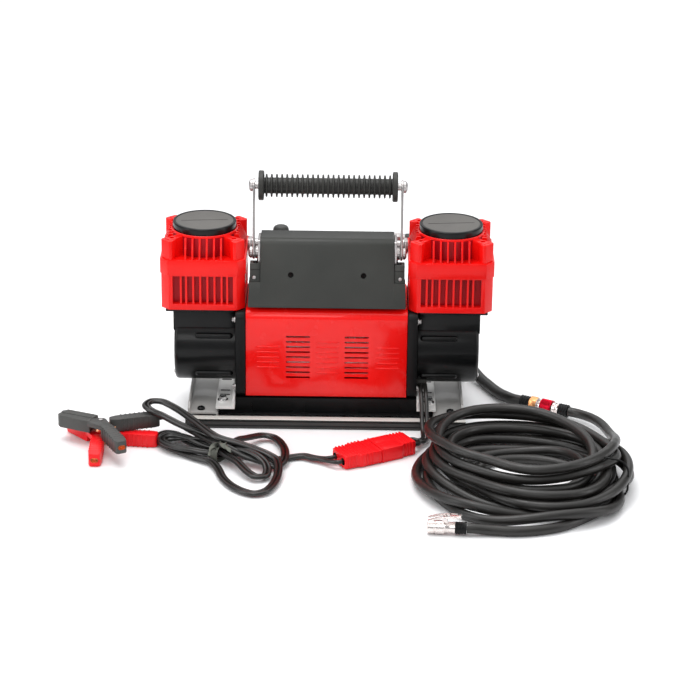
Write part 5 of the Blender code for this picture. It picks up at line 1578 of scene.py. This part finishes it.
def make_connector_half(name, node, sign, paint):
    """One ribbed housing of the plug pair: the fixed half is a little taller and has fewer ribs."""
    red = paint["red_plastic"]
    tall = sign > 0
    half_width, half_height = 0.0172, 0.0080 if tall else 0.0074
    inner = [(GAP / 2, -half_width), (0.0262, -half_width), (0.0292, -half_width + 0.0022)]
    inner += [(CONNECTOR_HALF, -half_width + 0.0026)]
    outline = inner + [(x, -y) for x, y in reversed(inner)]
    outline = [(sign * x, y) for x, y in outline]
    body = prism(name, outline, "Z", -half_height, half_height, red, 0.0012)
    ports = []
    # The cable ports' walls take the near-black finish: painted shade inside the holes.
    for y in (-0.0086, 0.0086):
        low, high = mirrored(sign, CONNECTOR_HALF - 0.0060, CONNECTOR_HALF + 0.01)
        ports.append(rod("port", "X", low, high, 0.0040, (y, 0), paint["dark"], 28))
    cut(body, *ports)
    pieces = []
    rib_top = half_height + 0.0008
    first, count, pitch = (0.0285, 4, 0.0040) if tall else (0.0110, 8, 0.0042)
    for x in [first + i * pitch for i in range(count)]:
        low, high = mirrored(sign, x - 0.0010, x + 0.0010)
        reach = half_width + (0.0006 if x < 0.0262 else -0.0017)
        pieces.append(box("rib", (low, -reach, -half_height + 0.001), (high, reach, rib_top), red, 0.0006))
    low, high = mirrored(sign, 0.0004, 0.0032)
    corners = ((low, -half_width - 0.0003, -half_height), (high, half_width + 0.0003, half_height + 0.0003))
    pieces.append(box("collar", *corners, red, 0.0007))
    low, high = mirrored(sign, 0.0034, 0.0260)
    height = half_height + (0.0004 if tall else -0.0010)
    for y in (-0.0086, 0.0086):
        corners = ((low, y - 0.0062, -height + 0.001), (high, y + 0.0062, height))
        pieces.append(box("barrel", *corners, red, 0.0010))
    gather(body, *pieces)
    place = Matrix.Translation(CONNECTOR_MIDDLE) @ Matrix.Rotation(CONNECTOR_TURN, 4, "Z")
    part(moved(body, place), ROOT, "red_plastic", node)


def clamp_jaw_outline(sign):
    """A jaw's plan: a tapered sleeve from the pivot to a chamfered end."""
    points = [(-0.0505, 0.0005), (-0.0100, 0.0005), (-0.0085, 0.0104), (-0.0200, 0.0106)]
    points += [(-0.0440, 0.0096), (-0.0485, 0.0080), (-0.0510, 0.0052)]
    return [(x, sign * y) for x, y in points]


def make_clamp_half(name, sign, finish, paint):
    """One sleeved half: jaw with raised ridges, a pressed metal web, a ribbed handle and its tip."""
    along = Vector((math.cos(CLAMP_SPREAD), math.sin(CLAMP_SPREAD)))
    across = Vector((-along.y, along.x))
    height = CLAMP_HEIGHT
    jaw = prism(name, clamp_jaw_outline(sign), "Z", 0.0004, height - 0.0004, finish, 0.0011)
    pieces = []
    for y in (0.0030, 0.0058, 0.0086):
        outline = [(-0.0465, sign * (y - 0.0006)), (-0.0125, sign * (y - 0.0006))]
        outline += [(-0.0125, sign * (y + 0.0006)), (-0.0465, sign * (y + 0.0006))]
        pieces.append(prism("ridge", outline, "Z", 0.0003, height - 0.0001, finish, 0.0003))
    shape = [(0.0100, -0.0040), (0.0180, -0.0066), (0.0600, -0.0070)]
    shape += [(0.0645, -0.0060), (CLAMP_REACH, -0.0040)]
    shape += [(x, -y) for x, y in reversed(shape)]
    shape = [along * x + across * y for x, y in shape]
    grip = prism("grip", [(x, sign * y) for x, y in shape], "Z", 0.0, height, finish, 0.0016)
    ends = [(offset, height / 2, 0.0026) for offset in (-0.0018, 0.0018)]
    low, high = CLAMP_REACH - 0.0080, CLAMP_REACH + 0.01
    hole = prism("hole", hull_outline(ends, 24), "X", low, high, paint["copper"])
    cut(grip, moved(hole, Matrix.Rotation(sign * CLAMP_SPREAD, 4, "Z")))
    pieces.append(grip)
    rib_x, rib_reach = 0.0009, 0.0073
    square = ((-rib_x, -rib_reach), (rib_x, -rib_reach), (rib_x, rib_reach), (-rib_x, rib_reach))
    step = 0.0240
    while step < 0.0600:
        rib = [along * (step + x) + across * y for x, y in square]
        rib = [(x, sign * y) for x, y in rib]
        pieces.append(prism("rib", rib, "Z", -0.0001, height + 0.0002, finish, 0.0005))
        step += 0.0052
    web = [(0, 0, 0.0066), (-0.0120, 0.0060, 0.0042), (*(along * 0.0140), 0.0060)]
    outline = hull_outline([(x, sign * y, radius) for x, y, radius in web], 40)
    middle_z = height / 2
    low, high = (0.0010, middle_z - 0.0006) if sign > 0 else (middle_z + 0.0006, height - 0.0010)
    pieces.append(prism("web", outline, "Z", low, high, paint["copper"] if sign > 0 else finish, 0.0006))
    if sign < 0:
        base = high - 0.0004
        pieces.append(rod("pin", "Z", base, high + 0.0012, 0.0024, (0, 0), paint["zinc"], 24, 0.0004))
    teeth = bmesh.new()
    for i in range(7):
        x = -0.0470 + i * 0.0050
        tooth = [(x, sign * 0.0006), (x + 0.0042, sign * 0.0006), (x + 0.0021, sign * 0.00025)]
        add_prism(teeth, tooth, "Z", 0.0035, height - 0.0035)
    pieces.append(to_object("teeth", teeth, paint["copper"]))
    return gather(jaw, *pieces)


def make_clamps(paint):
    finishes = {"black": paint["vinyl_grey"], "red": paint["red_plastic"]}
    for word, clamp in CLAMPS.items():
        place = Matrix.Translation((*clamp["pivot"], clamp["low_z"]))
        place = place @ Matrix.Rotation(clamp["turn"], 4, "Z")
        for sign, end in ((1, "body"), (-1, "jaw")):
            name = f"{word}_clip_{end}"
            half = moved(make_clamp_half(name, sign, finishes[word], paint), place)
            slot = "clamp_grip" if word == "black" else "red_plastic"
            part(half, ROOT if end == "body" else f"{word}_jaw", slot, f"{word}_clamp_{end}")
        spring = coil_spring(f"{word}_clip_spring", paint["zinc"])
        lift = Matrix.Translation((0.0005, 0, CLAMP_HEIGHT / 2))
        part(moved(spring, place @ lift), ROOT, "zinc")


def wire(name, points, radius, resolution, finish, closed=False):
    """A round wire through the points, as mesh."""
    curve = bpy.data.curves.new(name, "CURVE")
    curve.dimensions = "3D"
    curve.bevel_depth = radius
    curve.bevel_resolution = resolution
    line = curve.splines.new("POLY")
    line.points.add(len(points) - 1)
    line.use_cyclic_u = closed
    for target, point in zip(line.points, points):
        target.co = (*point, 1)
    holder = bpy.data.objects.new(name, curve)
    bpy.context.scene.collection.objects.link(holder)
    graph = bpy.context.evaluated_depsgraph_get()
    mesh = bpy.data.meshes.new_from_object(holder.evaluated_get(graph))
    bpy.data.objects.remove(holder, do_unlink=True)
    mesh.materials.clear()
    mesh.materials.append(finish)
    made = bpy.data.objects.new(name, mesh)
    bpy.context.scene.collection.objects.link(made)
    mesh.shade_smooth()
    return made


def coil_spring(name, finish):
    """The torsion spring round a clamp's pin."""
    turns, radius, wire_r, rise = 3.5, 0.0052, 0.0007, 0.0006
    count = 84
    points = []
    for i in range(count):
        angle = 2 * math.pi * turns * i / (count - 1)
        points.append((radius * math.cos(angle), radius * math.sin(angle), (i / (count - 1) - 0.5) * rise))
    return wire(name, points, wire_r, 2, finish)


def hose_tie(name, hub, degrees, reach, height, finish):
    """A thin cord tied round the coil's strands, upright at an angle round the hub."""
    way = Vector((math.cos(math.radians(degrees)), math.sin(math.radians(degrees)), 0))
    outline = rounded((reach[0], 0.0010), (reach[1], height), 0.0140, steps=8)
    points = [Vector((*hub, 0)) + way * first + Vector((0, 0, second)) for first, second in outline]
    return wire(name, points, 0.0011, 3, finish, closed=True)


def bridge(mesh_data, near, far):
    """Four faces between two rings of four corners."""
    for j in range(4):
        k = (j + 1) % 4
        mesh_data.faces.new((near[j], near[k], far[k], far[j]))


def squarish(value):
    """A sine or cosine swollen towards its ends, so that a circle becomes a rounded box."""
    return abs(value) ** 0.7 * math.copysign(1, value)


def twisted_tie(name, centre, size, height, tails, finish):
    """A flat strip wrapped round a bundle, with twisted tails that point at the given places."""
    cx, cy = centre
    turn_x, turn_y, turn = size
    mesh_data = bmesh.new()
    way = Vector((math.cos(turn), math.sin(turn), 0))
    steps, strip, thick = 40, 0.0040, 0.0006
    rows = []
    for step in range(steps):
        angle = 2 * math.pi * step / steps
        reach = squarish(math.cos(angle)) * turn_x
        rise = max(height / 2 + squarish(math.sin(angle)) * turn_y, thick)
        middle = Vector((cx, cy, rise)) + way * reach
        side = Vector((-way.y, way.x, 0)) * strip
        outward = (way * math.cos(angle) + Vector((0, 0, math.sin(angle)))) * thick
        row = [middle - side, middle + side, middle + side + outward, middle - side + outward]
        rows.append([mesh_data.verts.new(point) for point in row])
    for i in range(steps):
        bridge(mesh_data, rows[i], rows[(i + 1) % steps])
    top = Vector((cx, cy, height / 2 + turn_y + thick))
    for reach, spin in tails:
        reach = Vector(reach)
        previous = None
        for step in range(15):
            share = step / 14
            middle = top.lerp(reach, share) + Vector((0, 0, 0.004 * math.sin(math.pi * share)))
            angle = spin + share * 7.5
            flat = Vector((math.cos(angle), math.sin(angle) * 0.6, math.sin(angle))).normalized()
            half = flat * 0.0038 * (1 - 0.75 * max(0, share - 0.7) / 0.3)
            lift = (reach - top).normalized().cross(flat) * 0.0004
            corners = ((-1, -1), (1, -1), (1, 1), (-1, 1))
            row = [mesh_data.verts.new(middle + a * half + b * lift) for a, b in corners]
            if previous:
                bridge(mesh_data, previous, row)
            else:
                mesh_data.faces.new(row[::-1])
            previous = row
        mesh_data.faces.new(previous)
    return to_object(name, mesh_data, finish)


# ---------------------------------------------------------------- coupler and chuck


def crimps(places, crest_r, dip_r):
    """Profile points of the rings pressed into a ferrule."""
    half = 0.0010
    return [point for x in places for point in ((x - half, crest_r), (x, dip_r), (x + half, crest_r))]


def make_coupler(paint):
    """The quick coupler: crimped ferrule, brass hexagon, thin ring, knurled sleeve and plated plug."""
    centre = (0, 0)
    place = Matrix.Translation(COUPLER_START) @ Matrix.Rotation(COUPLER_TURN, 4, "Z")
    black, brass, chrome = paint["black_satin"], paint["brass"], paint["chrome"]
    profile = [(0, 0), (0, 0.0070), (0.0006, 0.0076)] + crimps((0.0030, 0.0060, 0.0090), 0.0076, 0.0070)
    profile += [(0.0114, 0.0076), (0.0120, 0.0070), (0.0120, 0)]
    body = turned("coupler_barrel", profile, "X", centre, black, 40)
    nut = prism("nut", hexagon(centre, 0.0152, 12), "X", 0.0123, 0.0212, brass, 0.0006)
    ring = rod("ring", "X", 0.0211, 0.0218, 0.0076, centre, paint["zinc"], 40, 0.0002)
    barrel = rod("barrel", "X", 0.0214, 0.0400, 0.0052, centre, chrome, 36, 0.0003)
    gather(body, nut, ring, barrel)
    part(moved(body, place), ROOT, "brass", "coupler_body")
    red = paint["anodised"]
    mesh_data = bmesh.new()
    teeth, sleeve_r, depth, bore_r = 44, 0.0085, 0.0004, 0.0056
    outline = []
    for i in range(teeth * 2):
        angle = math.pi * i / teeth
        radius = sleeve_r - (depth if i % 2 else 0)
        outline.append((radius * math.cos(angle), radius * math.sin(angle)))
    add_prism(mesh_data, outline, "X", 0.0272, 0.0386)
    sleeve = to_object("knurled_sleeve", mesh_data, red)
    cut(sleeve, rod("bore", "X", 0.02, 0.05, bore_r, centre, red, 36))
    for low, high in ((0.0260, 0.0275), (0.0383, 0.0396)):
        rim = rod("rim", "X", low, high, sleeve_r, centre, red, 44, 0.0003)
        gather(sleeve, cut(rim, rod("bore", "X", 0.02, 0.05, bore_r, centre, red, 36)))
    part(moved(sleeve, place), "coupler_ring", "red_anodised", "coupler_sleeve")
    profile = [(0.0403, 0), (0.0403, 0.0062), (0.0408, 0.0068), (0.0440, 0.0070), (0.0446, 0.0060)]
    profile += [(0.0462, 0.0060), (0.0468, 0.0068), (0.0480, 0.0070), (0.0480, 0)]
    plug = turned("plated_plug", profile, "X", centre, chrome, 40)
    profile = [(0.0481, 0), (0.0481, 0.0068), (0.0487, 0.0074)]
    profile += crimps((0.0510, 0.0540, 0.0570), 0.0074, 0.0069)
    profile += [(COUPLER_LENGTH - 0.0006, 0.0074), (COUPLER_LENGTH, 0.0068), (COUPLER_LENGTH, 0)]
    gather(plug, turned("ferrule", profile, "X", centre, black, 40))
    part(moved(plug, place), ROOT, "chrome", "hose_plug")


def make_chuck(paint):
    """The clip-on tyre chuck with its thumb lever and a crimped ferrule at the hose."""
    chrome, black = paint["chrome"], paint["black_satin"]
    place = Matrix.Translation(CHUCK_START) @ Matrix.Rotation(CHUCK_TURN, 4, "Z")
    profile = [(0.0, 0), (0.0, 0.0050), (0.0006, 0.0060), (0.0012, 0.0071)]
    profile += [(0.0070, 0.0072), (0.0076, 0.0067), (0.0086, 0.0067), (0.0092, 0.0072)]
    profile += [(0.0178, 0.0072), (0.0185, 0.0066), (0.0195, 0.0059), (0.0260, 0.0058), (0.0278, 0.0062)]
    profile += [(0.0290, 0.0062), (0.0290, 0)]
    body = turned("chuck_barrel", profile, "X", (0, 0), chrome, 44)
    # The mouth's walls take the near-black finish: painted shade inside the opening.
    cut(body, rod("mouth", "X", -0.01, 0.0060, 0.0042, (0, 0), paint["dark"], 32))
    ears = []
    for y in (-0.0014, 0.0014):
        outline = hull_outline([(0.0185, 0.0108, 0.0024), (0.0185, 0.0050, 0.0032)], 28)
        near, far = (y - 0.0008, y + 0.0008)
        ears.append(prism("ear", [(x, z) for x, z in outline], "Y", near, far, chrome, 0.0002))
    profile = [(0.0291, 0), (0.0291, 0.0060), (0.0296, 0.0064)]
    profile += crimps((0.0320, 0.0350, 0.0380), 0.0064, 0.0060)
    profile += [(0.0405, 0.0064), (CHUCK_LENGTH, 0.0060), (CHUCK_LENGTH, 0)]
    gather(body, *ears, turned("ferrule", profile, "X", (0, 0), black, 40))
    part(moved(body, place), ROOT, "chrome", "chuck_body")
    along, up = LEVER_PIVOT
    end_x = 0.0175
    outline = [(-end_x, -0.0014), (-0.0150, -0.0004), (-0.0080, 0.0018), (0.0, 0.0030), (0.0080, 0.0031)]
    outline += [(end_x - 0.0010, 0.0026), (end_x, 0.0020), (end_x - 0.0004, 0.0012), (0.0080, 0.0014)]
    outline += [(0.0, 0.0008), (-0.0080, -0.0004), (-0.0155, -0.0022), (-end_x, -0.0026)]
    lever = prism("thumb_lever", outline[::-1], "Y", -0.0052, -0.0028, chrome, 0.0003)
    other = prism("cheek", outline[::-1], "Y", 0.0028, 0.0052, chrome, 0.0003)
    plate = [(0.0045, 0.0006), (0.0045, 0.0031), (end_x - 0.0010, 0.0027), (end_x - 0.0003, 0.0012)]
    web = prism("web", plate, "Y", -0.0045, 0.0045, chrome, 0.0003)
    pin = rod("pin", "Y", -0.0058, 0.0058, 0.0010, (0, 0.0009), paint["steel"], 20, 0.0002)
    gather(lever, other, web, pin)
    lift = Matrix.Translation((along, 0, up))
    part(moved(lever, place @ lift), "lever", "chrome", "chuck_lever")


# ---------------------------------------------------------------- finishes of the CAD's own parts


NODE_PAINT = {
    "motor_can": "steel",
    "armature": "copper",
    "commutator": "copper",
    "motor_shaft": "steel",
    "cooling_fan": "black_satin",
    "bearing_left": "steel",
    "bearing_right": "steel",
    "crank_left": "steel",
    "crank_right": "steel",
    "piston_left": "aluminium",
    "piston_right": "aluminium",
    "cylinder_left": "aluminium",
    "cylinder_right": "aluminium",
    "power_switch": "red_plastic",
}


def colour_nodes(paint):
    for name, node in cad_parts.items():
        node.data.materials.clear()
        node.data.materials.append(paint[NODE_PAINT.get(name, "black_satin")])


def main():
    paint = make_materials()
    make_camera()
    make_stage()
    supply = make_supply_lead(paint)
    battery = make_battery_lead(paint)
    air_hose = make_air_hose(paint)
    leader = make_leader_hose(paint)
    colour_nodes(paint)
    make_heads(paint)
    make_motor_cover(paint)
    make_top_cover(paint)
    make_handle(paint)
    make_manifold(paint)
    make_cradle(paint)
    for side, word in SIDES:
        make_crankcase(side, word, paint)
        make_end_plate(side, word, paint)
        make_side_channel(side, word, paint)
        make_mount_bracket(side, word, paint)
    for face, word in ((-1, "front_rail"), (1, "rear_rail")):
        make_rail(face, word, paint)
    make_connector_half("plug_fixed_half", "connector_unit_half", 1, paint)
    make_connector_half("plug_battery_half", "connector_battery_half", -1, paint)
    make_clamps(paint)
    make_coupler(paint)
    make_chuck(paint)
    tails = (((-0.1010, -0.1830, 0.0200), 0.3), ((-0.1250, -0.1850, 0.0160), 1.8))
    tie = twisted_tie("lead_tie", HANK_TIE, (0.0100, 0.0085, math.radians(60)), 0.0180, tails, paint["tie"])
    part(tie, ROOT, "clamp_grip")
    tie = hose_tie("hose_tie", COIL_HUB, -22, (0.0760, 0.1220), 0.0450, paint["black_satin"])
    part(tie, ROOT, "rubber")


main()
